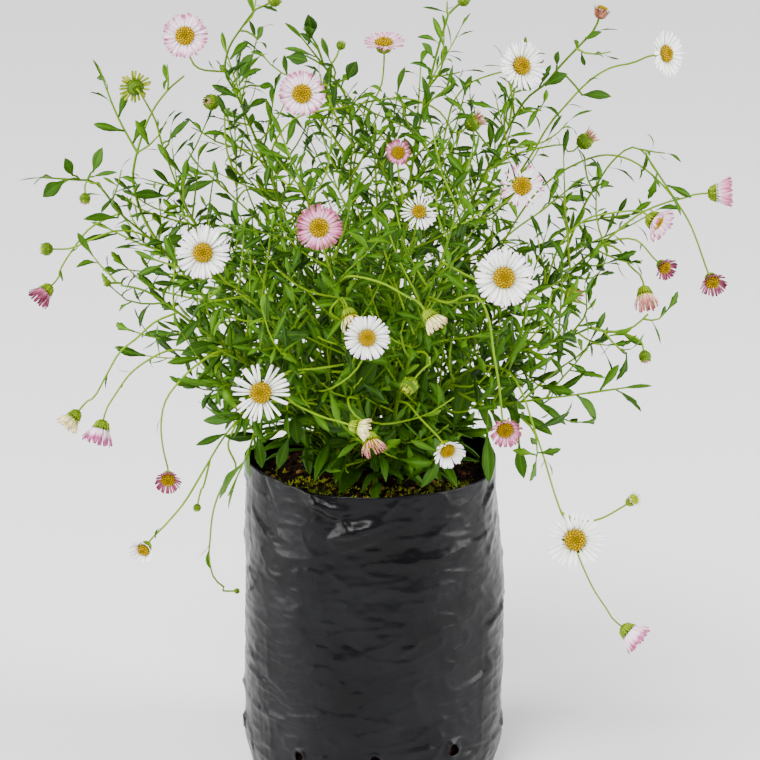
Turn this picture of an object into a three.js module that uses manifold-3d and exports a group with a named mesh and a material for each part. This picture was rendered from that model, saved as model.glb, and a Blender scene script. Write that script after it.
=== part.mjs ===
// A small many-rayed daisy in a black polythene planter bag.
// Millimetres, +Z up, origin at the middle of the bag's base, -Y towards the viewer.

import * as THREE from "three";
import { mergeVertices } from "three/addons/utils/BufferGeometryUtils.js";
import Module from "manifold-3d";

const wasm = await Module();
wasm.setup();

// Driving dimensions of the bag and the mix
const BAG_HEIGHT = 137;
const BAG_RADIUS = 54.6;
const BAG_RIM_RADIUS = 52.5;
const BAG_FOOT_RADIUS = 50;
const BAG_WALL = 1.0;
const BAG_SIDES = 18;
const DRAIN_TURNS = [-175, -123.5, -89, -52, -3, 52, 89, 123.5];
const DRAIN_RADIUS = 2.4;
const DRAIN_HEIGHT = 20.5;
const SOIL_TOP = 129;
const SOIL_CROWN = 2.5;
const HOLE_DEPTH = 12;
const HOLE_RADIUS = 1.9;
const GAP = 0.3;

// Driving dimensions of the plant
const TRUNK_RADIUS = 1.15;
const LEAFY_RADIUS = 0.8;
const STALK_RADIUS = 0.62;
const TWIG_WIDTH = 1.1;
const TWIG_LENGTH = 34;
const TIP_TWIG_LENGTH = 15;
const BLADE = 0.6;
const LEAF_LENGTH = 14.5;
const LOW_LEAF_LENGTH = 22;
const LEAF_SLENDERNESS = 0.14;
const LEAF_PITCH = 6.3;
const SPRAY_SPACING = 90;
const CUP_HEIGHT = 3.6;
const CUP_SHARE = 0.2;
const DISC_SHARE = 0.19;
const GOLDEN_TURN = 2.39996;

// The view that the stems were read from: a long lens, a little above the rim
const VIEW_ELEVATION = THREE.MathUtils.degToRad(16.5);
const VIEW_DISTANCE = 1800;
const MM_PER_PIXEL = 0.42;
const PHOTO_MIDDLE = 380;
const VIEW_TARGET = new THREE.Vector3(3, 0, 171);
const VIEW_RIGHT = new THREE.Vector3(1, 0, 0);
const VIEW_UP = new THREE.Vector3(0, Math.sin(VIEW_ELEVATION), Math.cos(VIEW_ELEVATION));
const VIEW_FORWARD = new THREE.Vector3(0, Math.cos(VIEW_ELEVATION), -Math.sin(VIEW_ELEVATION));
const EYE = VIEW_TARGET.clone().addScaledVector(VIEW_FORWARD, -VIEW_DISTANCE);

// Colours
const FILM_BLACK = 0x28282b;
const MIX_BROWN = 0x2d1e14;
const LEAF_GREEN = 0x4c8a24;
const DISC_YELLOW = 0xe3b21c;
const RAY_COLOURS = {
  white: 0xf2eef6,
  pale: 0xecd0e2,
  pink: 0xe09cc0,
  magenta: 0xc4578a,
  cream: 0xe9dcb4,
  salmon: 0xe2a694,
  brown: 0x7a4a2c,
};

// How each kind of head carries its rays: their number, and their lean off the flat
// towards the face, in degrees
const HEAD_FORMS = {
  open: { petals: 12, lean: 8 },
  sparse: { petals: 11, lean: -4 },
  half: { petals: 8, lean: 38 },
  cup: { petals: 7, lean: 66 },
  wilted: { petals: 6, lean: 58 },
  dried: { petals: 6, lean: 35 },
};

// Each leafy stem stands in its own hole in the mix, at hole (x, y) in millimetres.
// Each way point is [column, row, depth]: where the stem shows in the 760-pixel picture,
// and how far it lies behind the bag's axis in millimetres. A route starts at the nearest
// point of the route named by its from index, or in the hole when it has none.
// face is which way a head or bud looks: [right, up, towards the viewer]. A bare route has
// no spray of leaves at its end, because other stalks go on from there.
const STEMS = [
  {
    name: "stem_left_low",
    hole: [-15, -12],
    routes: [
      {
        kind: "trunk",
        way: [[338, 440, -18], [300, 405, -30], [262, 372, -38], [222, 345, -42],
          [178, 312, -42], [150, 293, -40], [131, 287, -38], [118, 285, -37]],
        bud: { at: [107, 283, -37], size: 3.4, face: [-1, 0, 0.1] },
      },
      {
        kind: "stalk", from: 0,
        way: [[178, 312, -42], [155, 322, -44], [137, 338, -46], [120, 352, -46],
          [107, 374, -46], [95, 396, -46]],
        head: { name: "cream_far_left", form: "cup", colour: "cream", at: [73, 418, -46],
          size: 13, face: [-0.6, -0.75, 0.2] },
      },
      {
        kind: "stalk", from: 0,
        way: [[235, 352, -41], [205, 353, -44], [172, 350, -48], [150, 359, -50],
          [130, 374, -50], [115, 395, -50]],
        head: { name: "pink_lower_left", form: "cup", colour: "pale", at: [101, 429, -50],
          size: 16, face: [-0.25, -0.95, 0.15] },
      },
      {
        kind: "stalk", from: 0,
        way: [[250, 362, -40], [225, 350, -50], [198, 364, -55], [178, 383, -57],
          [165, 402, -57], [161, 425, -57], [163, 448, -57]],
        head: { name: "magenta_low_left", form: "half", colour: "magenta", at: [168, 479, -58],
          size: 13, face: [0.05, -0.5, 0.86] },
      },
      {
        kind: "leafy", from: 0, bare: true,
        way: [[325, 428, -24], [290, 412, -40], [262, 406, -48], [240, 418, -52],
          [222, 440, -54], [205, 468, -56]],
      },
      {
        kind: "stalk", from: 4,
        way: [[205, 468, -56], [186, 500, -57], [168, 522, -58]],
        head: { name: "white_low_left", form: "half", colour: "white", at: [144, 549, -58],
          size: 13, face: [-0.35, -0.5, 0.8] },
      },
      {
        kind: "stalk", from: 4,
        way: [[210, 460, -55], [204, 485, -52]],
        bud: { at: [197, 508, -50], size: 3.6, face: [-0.2, -1, 0.1] },
      },
      {
        kind: "stalk", from: 4,
        way: [[236, 422, -52], [228, 445, -44], [236, 468, -34], [222, 487, -28],
          [213, 512, -24], [210, 540, -22], [209, 558, -20], [214, 578, -18],
          [226, 589, -16]],
        bud: { at: [237, 591, -15], size: 2.6, face: [1, 0, 0] },
      },
    ],
  },
  {
    name: "stem_left_far",
    hole: [-19, 1],
    routes: [
      {
        kind: "trunk",
        way: [[325, 435, -2], [280, 385, 2], [235, 335, 6], [200, 293, 8], [165, 252, 10],
          [140, 230, 10], [120, 213, 8], [103, 190, 5], [92, 181, 3], [80, 180, 2]],
      },
      {
        kind: "stalk", from: 0,
        way: [[103, 190, 5], [98, 182, -1], [90, 184, -3]],
        bud: { at: [85, 199, -3], size: 5, face: [0, -1, 0.2] },
      },
      {
        kind: "stalk", from: 0,
        way: [[150, 239, 10], [135, 232, 4], [115, 231, 1], [95, 238, 0], [75, 247, 0]],
        bud: { at: [46, 249, 0], size: 6, face: [-1, 0, 0.1] },
      },
      {
        kind: "stalk", from: 0,
        way: [[120, 213, 8], [106, 219, 12], [88, 230, 12], [71, 252, 10], [60, 270, 9]],
        head: { name: "magenta_far_left", form: "cup", colour: "magenta",
          at: [45, 292, 8], size: 14, face: [-0.65, -0.7, 0.3] },
      },
      {
        kind: "leafy", from: 0,
        way: [[165, 252, 10], [149, 228, 18], [138, 203, 20], [133, 175, 18],
          [140, 142, 16], [152, 112, 14], [168, 90, 12], [184, 76, 10]],
      },
    ],
  },
  {
    name: "stem_left_top",
    hole: [-13, 11],
    routes: [
      {
        kind: "trunk",
        way: [[345, 410, 16], [318, 330, 26], [295, 250, 32], [270, 175, 32],
          [250, 125, 30], [236, 93, 28], [225, 72, 26], [229, 48, 24], [240, 30, 22],
          [254, 11, 20]],
        bud: { at: [275, 0, 18], size: 6, face: [0.8, 0.4, 0.2] },
      },
      {
        kind: "stalk", from: 0,
        way: [[225, 72, 26], [213, 71, 22], [200, 69, 18], [191, 60, 14]],
        head: { name: "pale_top_left", form: "open", colour: "pale", at: [185, 36, 10],
          size: 19, face: [-0.05, 0.1, 1], disc: true },
      },
      {
        kind: "stalk", from: 0,
        way: [[262, 155, 31], [240, 175, 20], [228, 155, 15], [225, 130, 14]],
        bud: { at: [211, 102, 12], size: 7.2, face: [-0.5, 0.1, 0.7] },
      },
      {
        kind: "leafy", from: 0, bare: true,
        way: [[318, 330, 26], [270, 300, 24], [235, 262, 24], [205, 235, 24],
          [185, 205, 24], [172, 172, 24], [162, 145, 23]],
      },
      {
        kind: "stalk", from: 3,
        way: [[162, 145, 23], [156, 122, 22], [149, 108, 20]],
        bud: { at: [135, 87, 16], size: 7.5, face: [-0.3, 0.35, -0.9], rays: 9 },
      },
      {
        kind: "stalk", from: 0,
        way: [[275, 190, 32], [272, 150, 14], [296, 118, 2], [345, 107, -4],
          [385, 99, -6], [415, 100, -6], [440, 112, -6]],
        bud: { at: [473, 123, -6], size: 7.5, face: [0.85, 0.5, 0.2], rays: 5 },
      },
    ],
  },
  {
    name: "stem_front_left",
    hole: [-9, -20],
    routes: [
      {
        kind: "trunk",
        way: [[338, 428, -34], [305, 375, -50], [272, 325, -58], [240, 290, -58],
          [208, 277, -54], [190, 271, -52]],
      },
      {
        kind: "stalk", from: 0,
        way: [[240, 290, -58], [224, 280, -60]],
        head: { name: "white_left", form: "open", colour: "white", at: [203, 253, -66],
          size: 22, face: [-0.1, 0.1, 1], disc: true },
      },
      {
        kind: "stalk", from: 0,
        way: [[325, 405, -42], [300, 402, -58], [278, 402, -66]],
        head: { name: "white_front_left", form: "sparse", colour: "white",
          at: [261, 393, -80], size: 24, face: [-0.1, 0.12, 1], disc: true },
      },
    ],
  },
  {
    name: "stem_front",
    hole: [1, -22],
    routes: [
      {
        kind: "trunk",
        way: [[362, 415, -40], [348, 360, -54], [338, 300, -60], [326, 255, -60],
          [310, 205, -54], [296, 170, -48]],
      },
      {
        kind: "stalk", from: 0,
        way: [[331, 275, -60], [326, 258, -66]],
        head: { name: "pink_centre", form: "open", colour: "pink", at: [319, 228, -76],
          size: 19, face: [0.05, 0.15, 1], disc: true },
      },
      {
        kind: "stalk", from: 0,
        way: [[341, 320, -58], [330, 312, -68], [338, 300, -76]],
        head: { name: "cream_centre", form: "wilted", colour: "cream", at: [350, 317, -78],
          size: 14, face: [0.3, -0.85, 0.4] },
      },
      {
        kind: "stalk", from: 0,
        way: [[352, 375, -52], [352, 362, -64], [360, 350, -76]],
        head: { name: "white_centre", form: "open", colour: "white", at: [367, 338, -92],
          size: 18.5, face: [0.05, 0.05, 1], disc: true },
      },
      {
        kind: "stalk", from: 0,
        way: [[350, 365, -54], [318, 370, -66], [290, 374, -74], [278, 386, -80],
          [290, 405, -84], [308, 415, -86], [328, 422, -87]],
        head: { name: "cream_front", form: "cup", colour: "cream", at: [358, 427, -88],
          size: 12, face: [0.95, -0.2, 0.2] },
      },
      {
        kind: "stalk", from: 0,
        way: [[358, 400, -46], [348, 398, -60], [352, 412, -70]],
        head: { name: "cream_low", form: "wilted", colour: "salmon", at: [371, 441, -74],
          size: 15, face: [0.35, -0.9, 0.3] },
      },
      {
        kind: "stalk", from: 0,
        way: [[333, 285, -60], [350, 276, -74], [382, 283, -84], [406, 296, -88]],
        head: { name: "cream_right", form: "cup", colour: "cream", at: [431, 318, -90],
          size: 13, face: [0.6, -0.75, 0.2] },
      },
    ],
  },
  {
    name: "stem_front_right",
    hole: [11, -19],
    routes: [
      {
        kind: "trunk",
        way: [[394, 422, -36], [404, 378, -48], [416, 335, -56], [430, 290, -60],
          [445, 250, -60], [455, 215, -56], [462, 188, -50]],
      },
      {
        kind: "stalk", from: 0,
        way: [[408, 350, -52], [424, 352, -62], [430, 363, -72]],
        bud: { at: [409, 386, -80], size: 7.5, face: [-0.55, -0.7, 0.45] },
      },
      {
        kind: "stalk", from: 0,
        way: [[400, 400, -42], [408, 404, -58], [420, 418, -70]],
        head: { name: "white_low_front", form: "half", colour: "white", at: [447, 450, -78],
          size: 16, face: [0.35, -0.55, 0.75] },
      },
      {
        kind: "stalk", from: 0,
        way: [[428, 298, -60], [448, 303, -66], [464, 296, -70], [479, 298, -73],
          [489, 320, -75], [494, 355, -76], [499, 385, -76]],
        head: { name: "pink_low_right", form: "half", colour: "pink", at: [505, 429, -76],
          size: 16, face: [0.1, -0.5, 0.86] },
      },
      {
        kind: "stalk", from: 0,
        way: [[441, 262, -60], [468, 276, -62], [488, 284, -68]],
        head: { name: "white_right", form: "open", colour: "white", at: [504, 278, -86],
          size: 24, face: [0.05, 0.1, 1], disc: true },
      },
    ],
  },
  {
    name: "stem_top",
    hole: [-4, 6],
    routes: [
      {
        kind: "trunk",
        way: [[366, 405, 6], [356, 330, 8], [348, 250, 8], [350, 180, 6], [352, 130, 4],
          [345, 95, 3], [324, 66, 1]],
      },
      {
        kind: "stalk", from: 0,
        way: [[328, 71, 1], [333, 60, 0]],
        bud: { at: [341, 45, 0], size: 4.2, face: [0.4, 1, 0] },
      },
      {
        kind: "stalk", from: 0,
        way: [[350, 160, 5], [332, 135, -8], [316, 116, -20]],
        head: { name: "pink_upper_left", form: "open", colour: "pale", at: [302, 94, -36],
          size: 19, face: [0, 0.1, 1], disc: true },
      },
      {
        kind: "stalk", from: 0,
        way: [[350, 190, 6], [358, 145, 14], [369, 110, 15], [381, 86, 15]],
        head: { name: "pink_top", form: "open", colour: "pink", at: [384, 44, 14],
          size: 17.5, face: [0, 0.88, 0.48], disc: true },
      },
    ],
  },
  {
    name: "stem_top_right",
    hole: [7, 3],
    routes: [
      {
        kind: "trunk",
        way: [[384, 405, 0], [393, 330, -4], [402, 250, -8], [410, 180, -8], [416, 140, -8],
          [424, 105, -8], [432, 70, -8], [440, 40, -8], [447, 18, -8]],
        bud: { at: [464, 0, -8], size: 5.5, face: [0.7, 0.6, 0] },
      },
      {
        kind: "stalk", from: 0,
        way: [[406, 215, -8], [401, 192, -18]],
        head: { name: "salmon_centre", form: "half", colour: "pink", at: [398, 153, -34],
          size: 12.5, face: [0.05, 0.1, 1] },
      },
      {
        kind: "stalk", from: 0,
        way: [[401, 262, -7], [409, 248, -26], [414, 236, -42]],
        head: { name: "white_sparse", form: "sparse", colour: "white", at: [419, 212, -58],
          size: 15, face: [0.05, 0.25, 1], disc: true },
      },
      {
        kind: "stalk", from: 0,
        way: [[404, 230, -8], [428, 185, 2], [441, 150, 6], [447, 125, 8], [453, 103, 8],
          [466, 86, 8], [484, 77, 8]],
        head: { name: "white_upper_right", form: "open", colour: "white", at: [521, 66, 8],
          size: 21, face: [0.45, 0.1, 0.88], disc: true },
      },
    ],
  },
  {
    name: "stem_right_top",
    hole: [13, 11],
    routes: [
      {
        kind: "trunk",
        way: [[402, 415, 16], [426, 340, 22], [450, 260, 24], [475, 195, 22], [500, 145, 20],
          [524, 102, 18], [545, 84, 17], [562, 64, 16], [583, 42, 15]],
        head: { name: "brown_top_right", form: "dried", colour: "brown", at: [602, 10, 14],
          size: 9, face: [0.35, 0.9, 0.1] },
      },
      {
        kind: "stalk", from: 0,
        way: [[470, 207, 22], [505, 190, 28], [530, 157, 30], [547, 128, 30],
          [566, 105, 30], [588, 82, 30], [610, 68, 30], [632, 63, 30]],
        head: { name: "white_far_right", form: "open", colour: "white", at: [665, 54, 30],
          size: 20, face: [0.74, 0.05, 0.67], disc: true },
      },
      {
        kind: "stalk", from: 0,
        way: [[462, 228, 23], [485, 215, -2], [504, 203, -26]],
        head: { name: "faded_right", form: "sparse", colour: "pale", at: [522, 186, -50],
          size: 18, face: [0, 0.1, 1], disc: true },
      },
      {
        kind: "stalk", from: 0,
        way: [[487, 170, 21], [515, 155, 14], [545, 147, 12], [565, 145, 12]],
        bud: { at: [585, 141, 12], size: 7.5, face: [0.75, 0.6, 0.1], rays: 5 },
      },
    ],
  },
  {
    name: "stem_right",
    hole: [19, 1],
    routes: [
      {
        kind: "trunk", bare: true,
        way: [[418, 425, 2], [452, 372, 4], [490, 328, 6], [530, 298, 6], [560, 278, 6],
          [585, 258, 6], [610, 237, 6]],
      },
      {
        kind: "stalk", from: 0,
        way: [[610, 237, 6], [638, 215, 6], [662, 204, 6], [684, 198, 6]],
        head: { name: "pink_far_right", form: "cup", colour: "pink", at: [717, 193, 6],
          size: 17, face: [1, 0.05, 0.1] },
      },
      {
        kind: "stalk", from: 0,
        way: [[545, 288, 6], [560, 245, -4], [585, 220, -8], [612, 213, -10]],
        head: { name: "pale_right", form: "half", colour: "pale", at: [655, 221, -12],
          size: 18, face: [0.75, -0.5, 0.4] },
      },
      {
        kind: "stalk", from: 0,
        way: [[585, 258, 6], [602, 246, 16], [620, 239, 20], [638, 241, 22]],
        head: { name: "magenta_right", form: "half", colour: "magenta", at: [664, 267, 22],
          size: 12, face: [0.45, -0.45, 0.77] },
      },
      {
        kind: "stalk", from: 3,
        way: [[604, 245, 17], [618, 249, 14], [630, 266, 12]],
        head: { name: "salmon_right", form: "cup", colour: "salmon", at: [645, 295, 10],
          size: 15, face: [0.15, -0.9, 0.35] },
      },
      {
        kind: "stalk", from: 0,
        way: [[470, 350, 5], [482, 300, 18], [500, 250, 26], [525, 207, 26],
          [550, 180, 24], [578, 163, 22], [604, 155, 20], [628, 159, 18], [650, 173, 16],
          [672, 196, 14], [691, 226, 12]],
        head: { name: "magenta_far_right", form: "half", colour: "magenta",
          at: [712, 281, 10], size: 14, face: [0.2, -0.6, 0.77] },
      },
      {
        kind: "leafy", from: 0,
        way: [[555, 282, 6], [568, 245, 14], [582, 210, 14], [597, 184, 12], [611, 163, 10],
          [629, 148, 8], [643, 151, 6], [651, 163, 4]],
      },
    ],
  },
  {
    name: "stem_right_low",
    hole: [17, -11],
    routes: [
      {
        kind: "trunk",
        way: [[414, 430, -22], [447, 388, -30], [482, 364, -32], [520, 351, -32],
          [560, 340, -30], [592, 327, -28]],
      },
      {
        kind: "leafy", from: 0, bare: true,
        way: [[590, 328, -28], [612, 332, -24], [633, 327, -22], [648, 314, -20]],
      },
      {
        kind: "stalk", from: 1,
        way: [[620, 331, -23], [634, 338, -26]],
        bud: { at: [645, 357, -28], size: 5.6, face: [0.2, -0.9, 0.2] },
      },
      {
        kind: "stalk", from: 0,
        way: [[520, 351, -32], [545, 320, -36]],
        bud: { at: [572, 294, -38], size: 6, face: [0.9, -0.3, 0.3], rays: 5 },
      },
      {
        kind: "leafy", from: 0,
        way: [[450, 386, -30], [478, 402, -36], [510, 403, -38], [540, 399, -38],
          [566, 396, -36], [588, 393, -35]],
      },
      {
        kind: "stalk", from: 0,
        way: [[482, 364, -32], [508, 372, -48], [523, 395, -56], [533, 425, -60],
          [544, 458, -62], [554, 492, -63], [564, 520, -60], [573, 542, -55],
          [583, 567, -54], [594, 590, -54], [606, 608, -54]],
        head: { name: "pale_hanging_right", form: "cup", colour: "pale",
          at: [629, 632, -54], size: 17, face: [0.75, -0.6, 0.15] },
      },
      {
        kind: "stalk", from: 5,
        way: [[560, 510, -61], [566, 524, -61]],
        head: { name: "white_hanging", form: "sparse", colour: "white",
          at: [575, 540, -74], size: 24.5, face: [0.05, 0.1, 1], disc: true },
      },
      {
        kind: "stalk", from: 5,
        way: [[561, 513, -61], [580, 521, -54], [600, 519, -52]],
        head: { name: "white_small_right", form: "half", colour: "white",
          at: [633, 500, -52], size: 9, face: [0.55, 0.4, 0.65] },
      },
    ],
  },
  {
    name: "stem_back",
    hole: [2, 18],
    routes: [
      {
        kind: "trunk",
        way: [[375, 395, 32], [380, 310, 58], [378, 225, 70], [376, 180, 71]],
      },
      {
        kind: "leafy", from: 0,
        way: [[376, 380, 38], [335, 320, 56], [292, 262, 70], [255, 218, 78], [228, 192, 80]],
      },
      {
        kind: "leafy", from: 0,
        way: [[377, 370, 42], [425, 320, 56], [472, 268, 70], [512, 232, 78], [540, 212, 82]],
      },
      {
        kind: "leafy", from: 0,
        way: [[375, 400, 30], [345, 385, 52], [305, 372, 70], [272, 370, 80]],
      },
      {
        kind: "leafy", from: 0,
        way: [[375, 398, 31], [408, 385, 54], [446, 370, 72], [480, 368, 80]],
      },
      {
        kind: "leafy", from: 0,
        way: [[378, 350, 48], [374, 335, 68], [372, 340, 84], [372, 356, 94]],
      },
    ],
  },
];

// Seeded draws between 0 and 1, the same on every run
class Draws {
  constructor(seed) {
    this.state = (seed * 2654435761 + 12345) >>> 0;
  }

  next() {
    this.state = (Math.imul(this.state, 1664525) + 1013904223) >>> 0;
    return this.state / 4294967296;
  }

  between(low, high) {
    return low + (high - low) * this.next();
  }
}

// A place in the picture and a depth, as a real point
function fromPhoto([column, row, depth]) {
  const across = ((column - PHOTO_MIDDLE) * MM_PER_PIXEL) / VIEW_DISTANCE;
  const down = ((row - PHOTO_MIDDLE) * MM_PER_PIXEL) / VIEW_DISTANCE;
  const ray = VIEW_FORWARD.clone().addScaledVector(VIEW_RIGHT, across);
  ray.addScaledVector(VIEW_UP, -down);
  return EYE.clone().addScaledVector(ray, (depth - EYE.y) / ray.y);
}

// Which way a head looks, from right, up and towards the viewer
function facing([right, up, towards]) {
  const face = VIEW_RIGHT.clone().multiplyScalar(right);
  face.addScaledVector(VIEW_UP, up);
  face.addScaledVector(VIEW_FORWARD, -towards);
  return face.normalize();
}

// A closed solid from a geometry, with its faces pointing out
function solidFrom(geometry) {
  const bare = geometry.index ? geometry.toNonIndexed() : geometry.clone();
  bare.deleteAttribute("normal");
  bare.deleteAttribute("uv");
  const merged = mergeVertices(bare, 1e-4);
  const place = merged.attributes.position.array;
  const corners = merged.index.array;
  const kept = [];
  let volume = 0;
  const a = new THREE.Vector3();
  const b = new THREE.Vector3();
  const c = new THREE.Vector3();
  for (let i = 0; i < corners.length; i += 3) {
    const [p, q, r] = [corners[i], corners[i + 1], corners[i + 2]];
    if (p === q || q === r || r === p) continue;
    kept.push(p, q, r);
    a.fromArray(place, 3 * p);
    b.fromArray(place, 3 * q);
    c.fromArray(place, 3 * r);
    volume += a.dot(b.cross(c));
  }
  if (volume < 0) kept.reverse();
  return new wasm.Manifold(new wasm.Mesh({
    numProp: 3,
    vertProperties: new Float32Array(place),
    triVerts: new Uint32Array(kept),
  }));
}

function geometryFrom(solid) {
  const mesh = solid.getMesh();
  const geometry = new THREE.BufferGeometry();
  geometry.setAttribute("position", new THREE.BufferAttribute(new Float32Array(mesh.vertProperties), 3));
  geometry.setIndex(new THREE.BufferAttribute(new Uint32Array(mesh.triVerts), 1));
  geometry.computeVertexNormals();
  return geometry;
}

function joined(solids) {
  let whole = solids[0];
  for (const piece of solids.slice(1)) whole = whole.add(piece);
  return whole;
}

// A turned form about +Z, from a profile of [radius, height] that starts and ends on the axis
function turned(profile, sides) {
  const points = profile.map(([radius, height]) => new THREE.Vector2(radius, height));
  return new THREE.LatheGeometry(points, sides).rotateX(Math.PI / 2);
}

// Places taken up so far: a ball for each short stretch of stem, leaf or ray
const CELL = 8;
const taken = new Map();

function cellOf(point) {
  return [point.x, point.y, point.z].map((value) => Math.floor(value / CELL));
}

function take(balls) {
  for (const ball of balls) {
    const key = cellOf(ball.at).join(" ");
    if (!taken.has(key)) taken.set(key, []);
    taken.get(key).push(ball);
  }
}

// Whether every ball keeps clear of other nodes, and of the same node's other routes
function isClear(balls, node, route, margin) {
  for (const ball of balls) {
    const [i, j, k] = cellOf(ball.at);
    for (let x = i - 1; x <= i + 1; x++) {
      for (let y = j - 1; y <= j + 1; y++) {
        for (let z = k - 1; z <= k + 1; z++) {
          for (const other of taken.get(`${x} ${y} ${z}`) ?? []) {
            if (other.node === node && (route === null || other.route === route)) continue;
            const reach = ball.radius + other.radius + (other.node === node ? 0.1 : margin);
            if (ball.at.distanceTo(other.at) < reach) return false;
          }
        }
      }
    }
  }
  return true;
}

// The fewest corners that keep straight stretches within a small sag of a smooth curve
function cornersOf(curve, sag) {
  const fine = curve.getSpacedPoints(Math.ceil(curve.getLength() / 1.5) + 1);
  const corners = [fine[0]];
  let from = 0;
  for (let to = 2; to < fine.length; to++) {
    const chord = new THREE.Line3(fine[from], fine[to]);
    const nearest = new THREE.Vector3();
    const strays = fine.slice(from + 1, to).some((spot) => {
      return chord.closestPointToPoint(spot, true, nearest).distanceTo(spot) > sag;
    });
    if (!strays) continue;
    from = to - 1;
    corners.push(fine[from]);
  }
  corners.push(fine.at(-1));
  return corners;
}

// A smooth route as the straight stretches that its stem is made of
class Line extends THREE.Curve {
  constructor(points, sag) {
    super();
    this.curve = new THREE.CatmullRomCurve3(points, false, "catmullrom", 0.5);
    this.corners = cornersOf(this.curve, sag);
    this.steps = this.corners.length - 1;
    this.lengths = [0];
    for (let i = 0; i < this.steps; i++) {
      this.lengths.push(this.lengths[i] + this.corners[i].distanceTo(this.corners[i + 1]));
    }
    this.length = this.lengths.at(-1);
  }

  stretchAt(share) {
    const wanted = share * this.length;
    const found = this.lengths.findIndex((length) => length > wanted);
    return found < 0 ? this.steps - 1 : found - 1;
  }

  at(share) {
    const i = this.stretchAt(share);
    const rest = (share * this.length - this.lengths[i]) / (this.lengths[i + 1] - this.lengths[i]);
    return this.corners[i].clone().lerp(this.corners[i + 1], rest);
  }

  along(share) {
    const i = this.stretchAt(share);
    return this.corners[i + 1].clone().sub(this.corners[i]).normalize();
  }

  spots(count) {
    return Array.from({ length: count + 1 }, (_, i) => this.at(i / count));
  }

  nearest(point) {
    let best = null;
    for (const spot of this.spots(200)) {
      if (best === null || spot.distanceTo(point) < best.distanceTo(point)) best = spot;
    }
    return best;
  }

  // What an extrusion along the line asks for: its corners, and the way through each
  getPoint(share) {
    return this.at(share);
  }

  getSpacedPoints() {
    return this.corners;
  }

  getTangentAt(share) {
    const i = Math.round(share * this.steps);
    const before = this.corners[Math.max(0, i - 1)];
    const after = this.corners[Math.min(this.steps, i + 1)];
    return after.clone().sub(before).normalize();
  }
}

// Balls every 2 mm along a line
function ballsAlong(line, radius, node, route) {
  const count = Math.max(2, Math.ceil(line.length / 2));
  return line.spots(count).map((at) => ({ at, radius, node, route }));
}

// A stem of a few flat sides along a line
function stemSolid(line, radius, sides) {
  const section = new THREE.Shape();
  for (let i = 0; i < sides; i++) {
    const angle = (2 * Math.PI * i) / sides;
    const corner = [radius * Math.cos(angle), radius * Math.sin(angle)];
    if (i === 0) section.moveTo(...corner);
    else section.lineTo(...corner);
  }
  section.closePath();
  const path = { steps: line.steps, extrudePath: line, bevelEnabled: false };
  return solidFrom(new THREE.ExtrudeGeometry(section, path));
}

// A leaf's outline from its root at one side of a twig: [share of half width, share of length]
const PLAIN_LEAF = [[-1, 0.5], [0, 1], [1, 0.6]];
const CUT_LEAF = [[-1, 0.56], [-0.45, 0.7], [0, 1], [0.5, 0.74], [1, 0.62]];

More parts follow.
